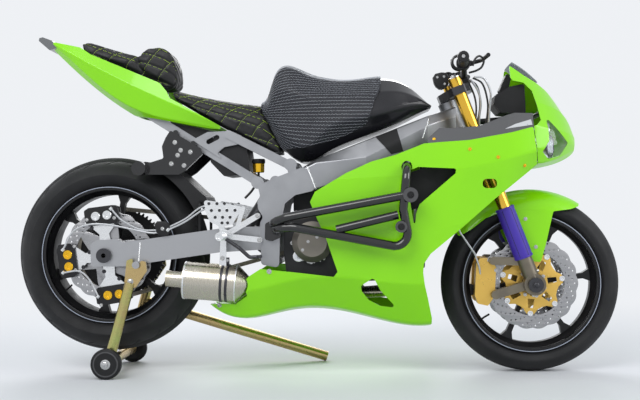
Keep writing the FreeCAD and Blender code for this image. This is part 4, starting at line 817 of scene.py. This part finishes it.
def quilt_fields(point):
    """Two slanted sets of channels over a seat, counted along the girth from the side to the top."""
    girth = point.z - abs(point.y)
    return ((point.x * QUILT_ALONG_WAY[0] + girth * QUILT_ALONG_WAY[1]) / QUILT_ALONG,
            (point.x * QUILT_ACROSS_WAY[0] + girth * QUILT_ACROSS_WAY[1]) / QUILT_ACROSS)


def quilt(item, depth):
    """Sewn diamonds: the surface sinks along two sets of channels."""
    rows = vertex_rows(item.data, "co")
    girth = rows[:, 2] - np.abs(rows[:, 1])
    sink = np.zeros(len(rows), np.float32)
    for value, pitch in ((QUILT_ALONG_WAY[0] * rows[:, 0] + QUILT_ALONG_WAY[1] * girth, QUILT_ALONG),
                         (QUILT_ACROSS_WAY[0] * rows[:, 0] + QUILT_ACROSS_WAY[1] * girth, QUILT_ACROSS)):
        away = np.abs(value / pitch - np.round(value / pitch)) * pitch
        sink = np.maximum(sink, np.exp(-(away / 0.0042) ** 2))
    place_vertices(item.data, rows - vertex_rows(item.data, "normal") * (depth * sink)[:, None])


def build_seats():
    for node, name, cap in (("rider_seat", "quilted_rider_seat", 0.005),
                            ("tail_seat", "quilted_tail_seat", 0.006)):
        item = padded_copy(node, name, "seat_leather", cap)
        quilt(item, 0.0028)
        for number in (0, 1):
            field_lines(item, lambda co, number=number: quilt_fields(co)[number],
                        "%s_thread_%d" % (name, number),
                        "stitch_lime", keep=lambda normal: normal.z > -0.35 and abs(normal.x) < 0.8,
                        dash=lambda co: math.sin((co.x * 0.8 + co.z) * 2 * math.pi / 0.0072) < -0.35)


COVER_PITCH = 0.0108
COVER_CORE = 0.86
COVER_GIRTH = 0.15


def on_cover(x, girth):
    """Point just above the tank cover at x, a girth away from its top line."""
    angle = girth / COVER_GIRTH
    way = Vector((0, math.sin(angle), math.cos(angle)))
    point, normal, _, far = tree_of("tank_cover").ray_cast(Vector((x, 0, COVER_CORE)) + way * 0.4, -way)
    if point is None or far > 0.37:
        return None
    return point + normal * 0.0003


def build_cover_threads():
    """Zigzag rows of stitches over the padded tank cover."""
    piece = Piece("tank_cover_thread", "root")
    corner = COVER_PITCH / math.sqrt(3)
    rows = int(2.5 * COVER_GIRTH / (COVER_PITCH * 0.866))
    for row in range(-rows, rows + 1):
        for column in range(-22, 25):
            middle = (COVER_PITCH * (column + 0.5 * (row % 2)), row * COVER_PITCH * 0.866)
            for edge in range(2):
                ends = []
                for turn in (edge, edge + 1):
                    angle = math.radians(60 * turn + 30)
                    ends.append((middle[0] + corner * math.cos(angle), middle[1] + corner * math.sin(angle)))
                points = [on_cover(ends[0][0] + (ends[1][0] - ends[0][0]) * part,
                                   ends[0][1] + (ends[1][1] - ends[0][1]) * part) for part in (0.10, 0.5,
                                                                                               0.90)]
                if None not in points and (points[0] - points[2]).length < COVER_PITCH:
                    piece.tube(points, 0.36, "stitch_grey", sides=4, steps=1)
    piece.done(angle=60)


def both_sides(*rows):
    """The same bolts on the right and on the left; rows are (node, radius, places)."""
    return [(node, side, radius, places) for node, radius, places in rows for side in (RIGHT, LEFT)]


def build_bolts():
    bolts_on("frame_bolts", "root", both_sides(
        ("subframe", 7.0, [(-184, 629), (-77, 686)]),
        ("stunt_bar", 5.5, [(-459, 764), (-440, 738), (-450, 722), (-471, 694), (-408, 732), (-429, 688)]))
        + [("engine_covers", RIGHT, 5.0, [(-95, 432), (-77, 361), (-16, 349), (45, 355)])]
        + both_sides(("side_fairings", 6.0, [(-144, 345), (-309, 235)]))
        + [("rearsets", RIGHT, 6.0, [(-182, 522), (-176, 445), (-295, 387)]),
           ("rearsets", LEFT, 6.0, [(-182, 522), (-176, 445)])])
    bolts_on("steering_bolts", "steering", both_sides(
        ("front_calipers", 6.0, [(FRONT.x - 118, FRONT.z + 96), (FRONT.x - 96, FRONT.z + 150)]),
        ("fork_feet", 5.0, [(FRONT.x - 6, FRONT.z - 36), (FRONT.x + 10, FRONT.z + 44)])))


def cap(piece, place, side, radius, finish):
    """Round screw cap with a raised rim and a hexagonal socket."""
    piece.lathe([(radius, -1), (radius, 2.6), (radius - 1.4, 4.0), (radius - 4.2, 4.0), (radius - 5.0, 2.8),
                 (radius * 0.42, 2.8), (radius * 0.36, 0.6), (0, 0.5)], place, (0, side,
                                                                                0), finish, 28, hexes=(5, 6))


def build_rear_brake_trim():
    """Piston caps, pad pins and braided lines of the three rear calipers."""
    piece = Piece("rear_brake_trim", "root")
    caps = [((-723, 523), "bright_alloy"), ((-685, 527), "bright_alloy"), ((-816, 397), "cap_gold"),
            ((-812, 358), "cap_gold"), ((-683, 264), "cap_gold"), ((-645, 268), "cap_gold")]
    for (x, z), finish in caps:
        point, _ = surface("rear_calipers", x, z)
        cap(piece, point, RIGHT, 15.0, finish)
    for x, z in ((-752, 512), (-661, 518), (-786, 428), (-790, 347), (-706, 230), (-630, 234)):
        point, _ = surface("rear_calipers", x, z)
        bolt(piece, point, (0, -1, 0), 4.2)
    for x, z in ((-757, 462), (-640, 488), (-752, 432), (-756, 348), (-704, 340), (-628, 342)):
        point, _ = surface("caliper_brackets", x, z)
        bolt(piece, point, (0, -1, 0), 5.0, "dark_steel")
    piece.done()
    lines = Piece("rear_brake_lines", "root")
    for y, route in ((-150, [(-664, 548), (-628, 510), (-568, 480), (-508, 477)]),
                     (-152, [(-822, 415), (-789, 474), (-734, 497), (-660, 494), (-545, 470), (-508, 470)]),
                     (-146, [(-823, 340), (-772, 345), (-738, 318), (-708, 262)]),
                     (-152, [(-476, 486), (-421, 513), (-373, 549), (-340, 556)]),
                     (-156, [(-476, 478), (-421, 504), (-366, 540), (-336, 548)])):
        lines.tube([mm(x, y, z) for x, z in route], 3.0, "hose_grey", 10, 8)
        for x, z in (route[0], route[-1]):
            lines.lathe([(0, -5), (5.4, -5), (5.4, 5), (0, 5)], mm(x, y, z), (0.7, 0, 0.7), "bright_alloy", 6)
    lines.done()
    clamp = Piece("brake_line_clamp", "root")
    clamp.plate([(-522, 505), (-472, 504), (-472, 459), (-509, 459)], -158, -142, "black_plastic", bevel=1.5,
                rounded=1)
    bolt(clamp, mm(-494, -158, 482), (0, -1, 0), 4.5)
    clamp.done()


SILENCER_FRONT, SILENCER_REAR = (-250, -167, 303), (-422, -167, 317)
SILENCER_STRAPS = (0.28, 0.18)    # places along it


def build_silencer_trim():
    """Straps, rolled edges and rivets round the silencer."""
    piece = Piece("silencer_trim", "root")
    front, rear = mm(*SILENCER_FRONT), mm(*SILENCER_REAR)
    way = (rear - front).normalized()
    for along, finish, wide in [(strap, "dark_steel", 4.5) for strap in SILENCER_STRAPS] + [
            (0.015, "bright_alloy", 2.5), (0.975, "bright_alloy", 3.0)]:
        piece.lathe([(60.1, -wide), (61.6, -wide + 0.6), (61.6, wide - 0.6), (60.1, wide)],
                    front.lerp(rear, along), way,
                    finish, 72, closed=True)
    across = way.cross(Vector((0, 1, 0))).normalized()
    for step in range(14):
        angle = 2 * math.pi * step / 14
        out = across * math.cos(angle) + Vector((0, 1, 0)) * math.sin(angle)
        piece.lathe([(2.6, -0.5), (2.4, 0.8), (0, 1.5)], rear - way * 0.011 + out * 0.0600, out, "bolt_steel",
                    10)
    for along in SILENCER_STRAPS:
        base = front.lerp(rear, along)
        piece.plate([(-5, -3), (5, -3), (5, 22), (-5, 22)], -176, -168, "dark_steel", bevel=1.0,
                    origin=(base.x / MM, base.z / MM + 60))
        bolt(piece, mm(base.x / MM, -176, base.z / MM + 74), (0, -1, 0), 3.6)
    piece.done()


def patch(piece, node, corners, finish, lift=0.9, side=RIGHT, rows=10):
    """Thin panel that lies on a node between four corners given as (x, z)."""
    low_a, low_b, high_b, high_a = (Vector(corner) for corner in corners)
    rings = []
    for row in range(rows + 1):
        start, end = low_a.lerp(high_a, row / rows), low_b.lerp(high_b, row / rows)
        ring = []
        for step in range(rows + 1):
            spot = start.lerp(end, step / rows)
            point, normal = surface(node, spot.x, spot.y, side)
            ring.append(point + normal * lift * MM)
        rings.append(ring)
    piece.skin(rings, finish, around=False)


def weld_bead(piece, node, start, end, side, radius=3.0, pitch=3.4):
    """Row of overlapping ripples along a welded seam."""
    start, end = Vector(start), Vector(end)
    count = max(2, int((end - start).length / pitch))
    for step in range(count + 1):
        spot = start.lerp(end, step / count)
        point, normal = surface(node, spot.x, spot.y, side)
        piece.lathe([(radius, -0.3), (radius * 0.8, radius * 0.28), (radius * 0.35, radius * 0.45),
                     (0, radius * 0.5)], point, normal, "bright_alloy", 10)


def build_frame_trim():
    """Weld beads on both main spars and the swingarm, and a dark insert on each spar."""
    piece = Piece("frame_trim", "root")
    for side in (RIGHT, LEFT):
        weld_bead(piece, "main_frame", (-23, 679), (4, 607), side)
        weld_bead(piece, "main_frame", (352, 772), (372, 834), side, 2.4, 3.0)
        weld_bead(piece, "swingarm", (-575, 378), (-570, 436), side, 2.6, 3.0)
        weld_bead(piece, "swingarm", (-300, 440), (-286, 488), side, 2.6, 3.0)
        patch(piece, "main_frame", ((248, 718), (287, 728), (267, 802), (197, 775)), "black_plastic", 1.2,
              side)
    piece.done(angle=50)


def build_heel_plates():
    """Holes of the footrest heel plates, and ridged footrests with end caps."""
    piece = Piece("heel_plate_trim", "root")
    spots = [(x, z) for z, row in ((562, (-338, -312, -288, -262)), (540, (-330, -304, -280, -254)),
                                   (518, (-318, -294, -270)), (500, (-296, -278))) for x in row]
    for side in (RIGHT, LEFT):
        for x, z in spots:
            point, normal = surface("rearsets", x, z, side)
            if abs(point.y) < 0.17:
                continue
            piece.lathe([(6.4, 0.05), (6.2, 0.5), (5.2, 0.5), (4.9, 0.1)], point, normal, "bright_alloy", 18)
            piece.lathe([(4.9, 0.12), (0, 0.10)], point, normal, "engine_grey", 18)
        for row in range(9):
            point = mm(-290, side * (215 + row * 8.6), 458)
            piece.lathe([(12.1, -2.6), (13.2, -1.6), (13.2, 1.6), (12.1, 2.6)], point, (0, side, 0),
                        "bright_alloy", 24,
                        closed=True)
        cap(piece, mm(-290, side * 296, 458), side, 13.5, "bright_alloy")
    piece.done()


def build_hoses():
    """Hoses and cables between the handlebar and the headstock, and coolant hoses by the engine."""
    routes = [(-112, 3.6, "hose_grey", [(520, 968), (552, 964), (574, 920), (572, 874), (565, 800),
                                        (540, 760)]),
              (-104, 3.2, "hose_black", [(516, 966), (546, 950), (562, 908), (566, 860), (552, 790),
                                         (520, 750)]),
              (-92, 3.6, "hose_grey", [(509, 964), (534, 927), (544, 886), (540, 845), (536, 790),
                                       (505, 748)]),
              (-84, 3.0, "hose_black", [(502, 960), (522, 915), (530, 870), (526, 820), (515, 770),
                                        (490, 745)]),
              (70, 3.4, "hose_black", [(500, 985), (545, 965), (558, 905), (548, 840), (520, 780),
                                       (495, 750)]),
              (84, 3.0, "hose_black", [(500, 975), (536, 940), (546, 885), (536, 825), (510, 775),
                                       (488, 748)])]
    for number, (y, radius, finish, route) in enumerate(routes):
        piece = Piece("bar_hose_%d" % (number + 1), "steering")
        points = [mm(x, y * (1.0 - 0.35 * step / 5), z) for step, (x, z) in enumerate(route)]
        piece.tube(points, radius, finish, 10, 8)
        piece.done(blend=(points[-1], points[1]))
    loop = Piece("master_hose", "steering")
    loop.tube([mm(500, -250, 985), mm(507, -252, 1006), mm(521, -254, 1015), mm(534, -252, 1002),
               mm(528, -246, 982),
               mm(512, -236, 972), mm(492, -220, 968)], 3.4, "hose_black", 10, 8)
    loop.done()
    cooling = Piece("coolant_hoses", "root")
    for side in (RIGHT, LEFT):
        cooling.tube([mm(250, side * 96, 590), mm(226, side * 112, 566), mm(196, side * 118, 520),
                      mm(150, side * 116, 492)], 13.0, "hose_black", 16, 8)
        for x, y, z, way in ((238, 104, 577, (-0.6, 0.4 * side, -0.7)), (160, 116.5, 497, (-0.85, 0, -0.5))):
            cooling.lathe([(13.2, -5), (14.6, -4.4), (14.6, 4.4), (13.2, 5)], mm(x, side * y, z), way,
                          "bolt_steel", 28,
                          closed=True)
    cooling.done()


def build_cockpit_trim():
    """Bar ends, switch housings, the box by the bar, the pale panel insert and the fairing screws."""
    piece = Piece("bar_trim", "steering")
    low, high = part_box("handlebar")
    for side, edge in ((RIGHT, low.y), (LEFT, high.y)):
        spots = [v.co for v in NODES["handlebar"].data.vertices if abs(v.co.y - edge) < 0.004]
        centre = sum(spots, Vector()) / len(spots)
        place = Vector((centre.x, edge, centre.z))
        piece.lathe([(14.5, -14), (17.5, -12), (18, -4), (16.5, 1.2), (9, 1.8), (8, 0.8), (0, 0.6)], place,
                    (0, side, 0),
                    "black_metal", 36)
        piece.lathe([(5.2, 0.6), (5.2, 2.6), (3.0, 2.8), (2.8, 1.6), (0, 1.5)], place, (0, side, 0),
                    "bolt_steel", 18,
                    hexes=(2, 3))
        inner = place - Vector((0, side, 0)) * 0.138
        piece.lathe([(20, -20), (25, -17), (26.5, -8), (26.5, 10), (24, 17), (19, 19)], inner, (0, side, 0),
                    "black_plastic", 40)
        piece.lathe([(27, -1), (27.3, 0), (27, 1)], inner, (0, side, 0), "engine_grey", 40)
        piece.lathe([(0, 26), (4.2, 26), (4.6, 25), (4.6, 20), (0, 20)], inner, (-0.2, 0.15 * side, 1.0),
                    "red_paint" if side == RIGHT else "grey_plastic", 16)
        for angle in (40, 160, 280):
            out = Vector((math.cos(math.radians(angle)), 0, math.sin(math.radians(angle))))
            bolt(piece, inner + out * 0.0262, out, 2.6, "bolt_steel", 1.2)
    piece.plate([(389, 980), (422, 988), (436, 976), (437, 944), (414, 934), (396, 948)], -88, -46,
                "black_plastic",
                bevel=2.0, rounded=1)
    piece.tube([mm(437, -66, 960), mm(448, -72, 966), mm(456, -84, 958)], 5.0, "fork_gold", 12, 4)
    for x, z in ((402, 972), (424, 974), (426, 950)):
        bolt(piece, mm(x, -88, z), (0, -1, 0), 3.0)
    piece.done()
    panel = Piece("panel_insert", "root")
    for side in (RIGHT, LEFT):
        patch(panel, "cockpit_panels", ((606, 792), (696, 806), (692, 824), (640, 808)), "hose_grey", 0.8,
              side)
    panel.done(angle=50)
    bolts_on("fairing_screws", "root",
             both_sides(("side_fairings", 4.2, [(493, 728), (581, 702), (668, 676)]),
                        ("cockpit_panels", 3.6, [(382, 762)])),
             "cap_gold")


def build_headlights():
    """Silver bowl, bulb cover and dark bezel behind each clear lens."""
    piece = Piece("headlight_insides", "root")
    for side in (RIGHT, LEFT):
        point, normal = surface("headlights", 772, 752, side)
        aim = Vector((0.86, 0.50 * side, -0.05)).normalized()
        centre = point - normal * 0.020
        centre = centre - aim * 0.010
        bowl = [(30, 6), (29, 5), (26, -6), (20, -15), (12, -21), (7, -23), (7, -12), (5.5, -8), (0, -7)]
        piece.lathe(bowl, centre + Vector((0, 0, -0.012)), aim, "bright_alloy", 40)
        piece.lathe([(34, 4), (35, 7), (30, 8.5), (29.4, 6)], centre + Vector((0, 0, -0.012)), aim,
                    "grey_plastic", 40,
                    closed=True)
        upper = surface("headlights", 756, 806, side)
        piece.lathe([(17, 4), (15, -4), (9, -11), (4, -13), (4, -5), (0, -4)], upper[0] - upper[1] * 0.018,
                    aim,
                    "bright_alloy", 32)
    piece.done()


RAKE = math.radians(20.7)


def build_fork_trim():
    """Sleeve seams, tie bands, top caps and the calipers' bridge bolts."""
    piece = Piece("fork_trim", "steering")
    up = Vector((-math.sin(RAKE), 0, math.cos(RAKE)))
    ahead = Vector((math.cos(RAKE), 0, math.sin(RAKE)))
    for side in (RIGHT, LEFT):
        axle = FRONT.centre + mm(0, side * 105, 0)
        for along in (96, 262):
            piece.lathe([(30.1, -3), (31.2, -2.4), (31.2, 2.4), (30.1, 3)], axle + up * along * MM, up,
                        "cover_blue", 48,
                        closed=True)
        for turn in (-1, 1):
            out = (Vector((0, side, 0)) * math.cos(0.5) + ahead * turn * math.sin(0.5)).normalized()
            start, end = axle + up * 0.099 + out * 0.0302, axle + up * 0.259 + out * 0.0302
            piece.tube([start, start.lerp(end, 0.5), end], 0.7, "black_plastic", 6, 1)
        top = axle + up * 0.717
        piece.lathe([(20, -1), (20, 3), (17, 5), (12, 5), (12, 11), (7, 11.5), (6, 8), (0, 7.8)], top, up,
                    "bolt_steel",
                    30, hexes=(4, 5))
        for x, z in ((-142, 78), (-128, 128), (-112, 44)):
            point, normal = surface("front_calipers", FRONT.x + x, FRONT.z + z, side)
            bolt(piece, point, normal, 4.6)
        nut(piece, FRONT.centre + mm(0, side * 147.5, 0), (0, side, 0), 9.0, "dark_steel")
    piece.done()
    bolts_on("fender_screws", "steering", both_sides(("front_fender", 4.6, [(687, 506), (720, 414)])))


def build_engine_trim():
    """Sight glass, cover screws and cylinder fins."""
    piece = Piece("engine_trim", "root")
    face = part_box("engine_covers")[0].y
    point, _ = surface("engine_covers", -60, 384)
    piece.lathe([(18, -0.5), (18, 1.6), (15, 2.4), (12.5, 2.0), (12.5, 0.6), (0, 0.4)], point, (0, -1, 0),
                "bright_alloy",
                32)
    piece.lathe([(12.4, 0.8), (0, 1.4)], point, (0, -1, 0), "clear_lens", 32)
    for number in range(12):
        angle = 2 * math.pi * number / 12 + 0.2
        x, z = 20 + 62 * math.cos(angle), 392 + 62 * math.sin(angle)
        spot, normal = surface("engine_covers", x, z)
        if spot.y < face * 0.6:
            bolt(piece, spot, normal, 3.8)
            spot, normal = surface("engine_covers", x, z, LEFT)
            bolt(piece, spot, normal, 3.8)
    for number in range(9):
        z = 470 + number * 11
        for side in (RIGHT, LEFT):
            spot, normal = surface("engine_block", 110, z, side)
            if abs(spot.y) > 0.05:
                piece.plate([(60, z), (190, z), (190, z + 3), (60, z + 3)],
                            *sorted((spot.y / MM, spot.y / MM + side * 7)),
                            "engine_grey", bevel=0.8)
    piece.done()


RESERVOIR = (-190, -62, 682)


def build_reservoir():
    """Brake fluid reservoir with its cap, and the hose below it."""
    piece = Piece("fluid_reservoir", "root")
    piece.lathe([(0, -17), (17, -17), (19, -15), (19.5, 12), (17, 14), (0, 14)], mm(*RESERVOIR), (0, 0, 1),
                "cap_gold", 40)
    piece.lathe([(21, 13), (21.5, 14), (21.5, 25), (20, 28), (13, 28), (12, 26), (0, 26)], mm(*RESERVOIR),
                (0, 0, 1),
                "black_plastic", 40)
    for number in range(18):
        angle = 2 * math.pi * number / 18
        out = Vector((math.cos(angle), math.sin(angle), 0))
        place = mm(-190, -62, 702) + out * 0.0213
        piece.tube([place - Vector((0, 0, 0.004)), place, place + Vector((0, 0, 0.004))], 0.9,
                   "black_plastic", 6, 1)
    piece.tube([mm(-190, -62, 666), mm(-192, -62, 640), mm(-212, -62, 606), mm(-236, -62, 580)], 4.0,
               "hose_black", 10, 8)
    piece.done()


def build_puck_bolts():
    """Recessed bolts in the faces of the cage pucks."""
    piece = Piece("puck_bolts", "root")
    for place, side in puck_faces():
        piece.lathe([(11, -0.5), (11, 0.8), (8.5, 1.2), (8.0, 0.4), (5.5, 0.3), (5.2, 3.0), (3.0, 3.2),
                     (2.8, 2.2), (0, 2.1)],
                    place, (0, side, 0), "black_metal", 24, hexes=(6, 7))
    piece.done()


def puck_faces():
    """Outer face centre of each cage puck, with its side."""
    mesh = NODES["cage_pucks"].data
    spots = np.array([v.co[:] for v in mesh.vertices])
    faces = []
    for side in (RIGHT, LEFT):
        here = spots[spots[:, 1] * side > 0]
        while len(here):
            seed = here[np.argmax(here[:, 1] * side)]
            near = np.hypot(here[:, 0] - seed[0], here[:, 2] - seed[2]) < 0.056
            group = here[near]
            outer = group[:, 1] * side > (seed[1] * side - 0.0005)
            middle = (group[outer].min(axis=0) + group[outer].max(axis=0)) / 2
            faces.append((Vector((middle[0], seed[1], middle[2])), side))
            here = here[~near]
    return faces


def build_stand_trim():
    """Hook nuts and wheel bolts of the paddock stand."""
    piece = Piece("stand_trim", "root")
    for x, z in ((-576, 363), (-597, 312)):
        for side in (RIGHT, LEFT):
            nut(piece, surface("stand_frame", x, z, side)[0], (0, side, 0), 7.5)
    piece.done()
    for name, side in (("stand_wheel_right", RIGHT), ("stand_wheel_left", LEFT)):
        low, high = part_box(name)
        centre = (low + high) / 2
        trim = Piece(name + "_trim", name)
        place = Vector((centre.x, high.y if side == LEFT else low.y, centre.z))
        trim.lathe([(16, -4), (16, 0.8), (13, 1.6), (9.5, 1.6), (9.5, 7), (7.5, 8), (0, 8)], place,
                   (0, side, 0),
                   "bolt_steel", 24, hexes=(4, 5))
        trim.lathe([(36, -0.6), (37, 0.5), (40, 0.5), (41, -0.6)], place, (0, side, 0), "puck_grey", 48)
        trim.done()


def build_sprocket_bolts():
    """Low bolts on the sprocket, which clear the swingarm."""
    piece = Piece("sprocket_trim", "rear_wheel")
    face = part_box("sprocket")[1].y / MM
    for number in range(5):
        angle = 2 * math.pi * number / 5 + 0.3
        centre = REAR.spot(52, angle, face)
        piece.lathe([(8, -0.5), (8, 1.0), (6.5, 2.2), (3.2, 2.2), (2.8, 1.2), (0, 1.1)], centre, (0, 1, 0),
                    "bolt_steel", 18,
                    hexes=(4,))
    piece.done()


build_camera()
build_stage()
finish_nodes()
build_tyre(FRONT, 26, 0.95)
build_tyre(REAR, 24, 1.05)
build_rim_trim(FRONT, 223, 58)
build_rim_trim(REAR, 223, 84)
build_front_discs()
build_rear_disc()
build_seats()
build_cover_threads()
build_bolts()
build_rear_brake_trim()
build_silencer_trim()
build_frame_trim()
build_heel_plates()
build_hoses()
build_cockpit_trim()
build_headlights()
build_fork_trim()
build_engine_trim()
build_reservoir()
build_puck_bolts()
build_stand_trim()
build_sprocket_bolts()

scene.view_settings.view_transform = "Standard"
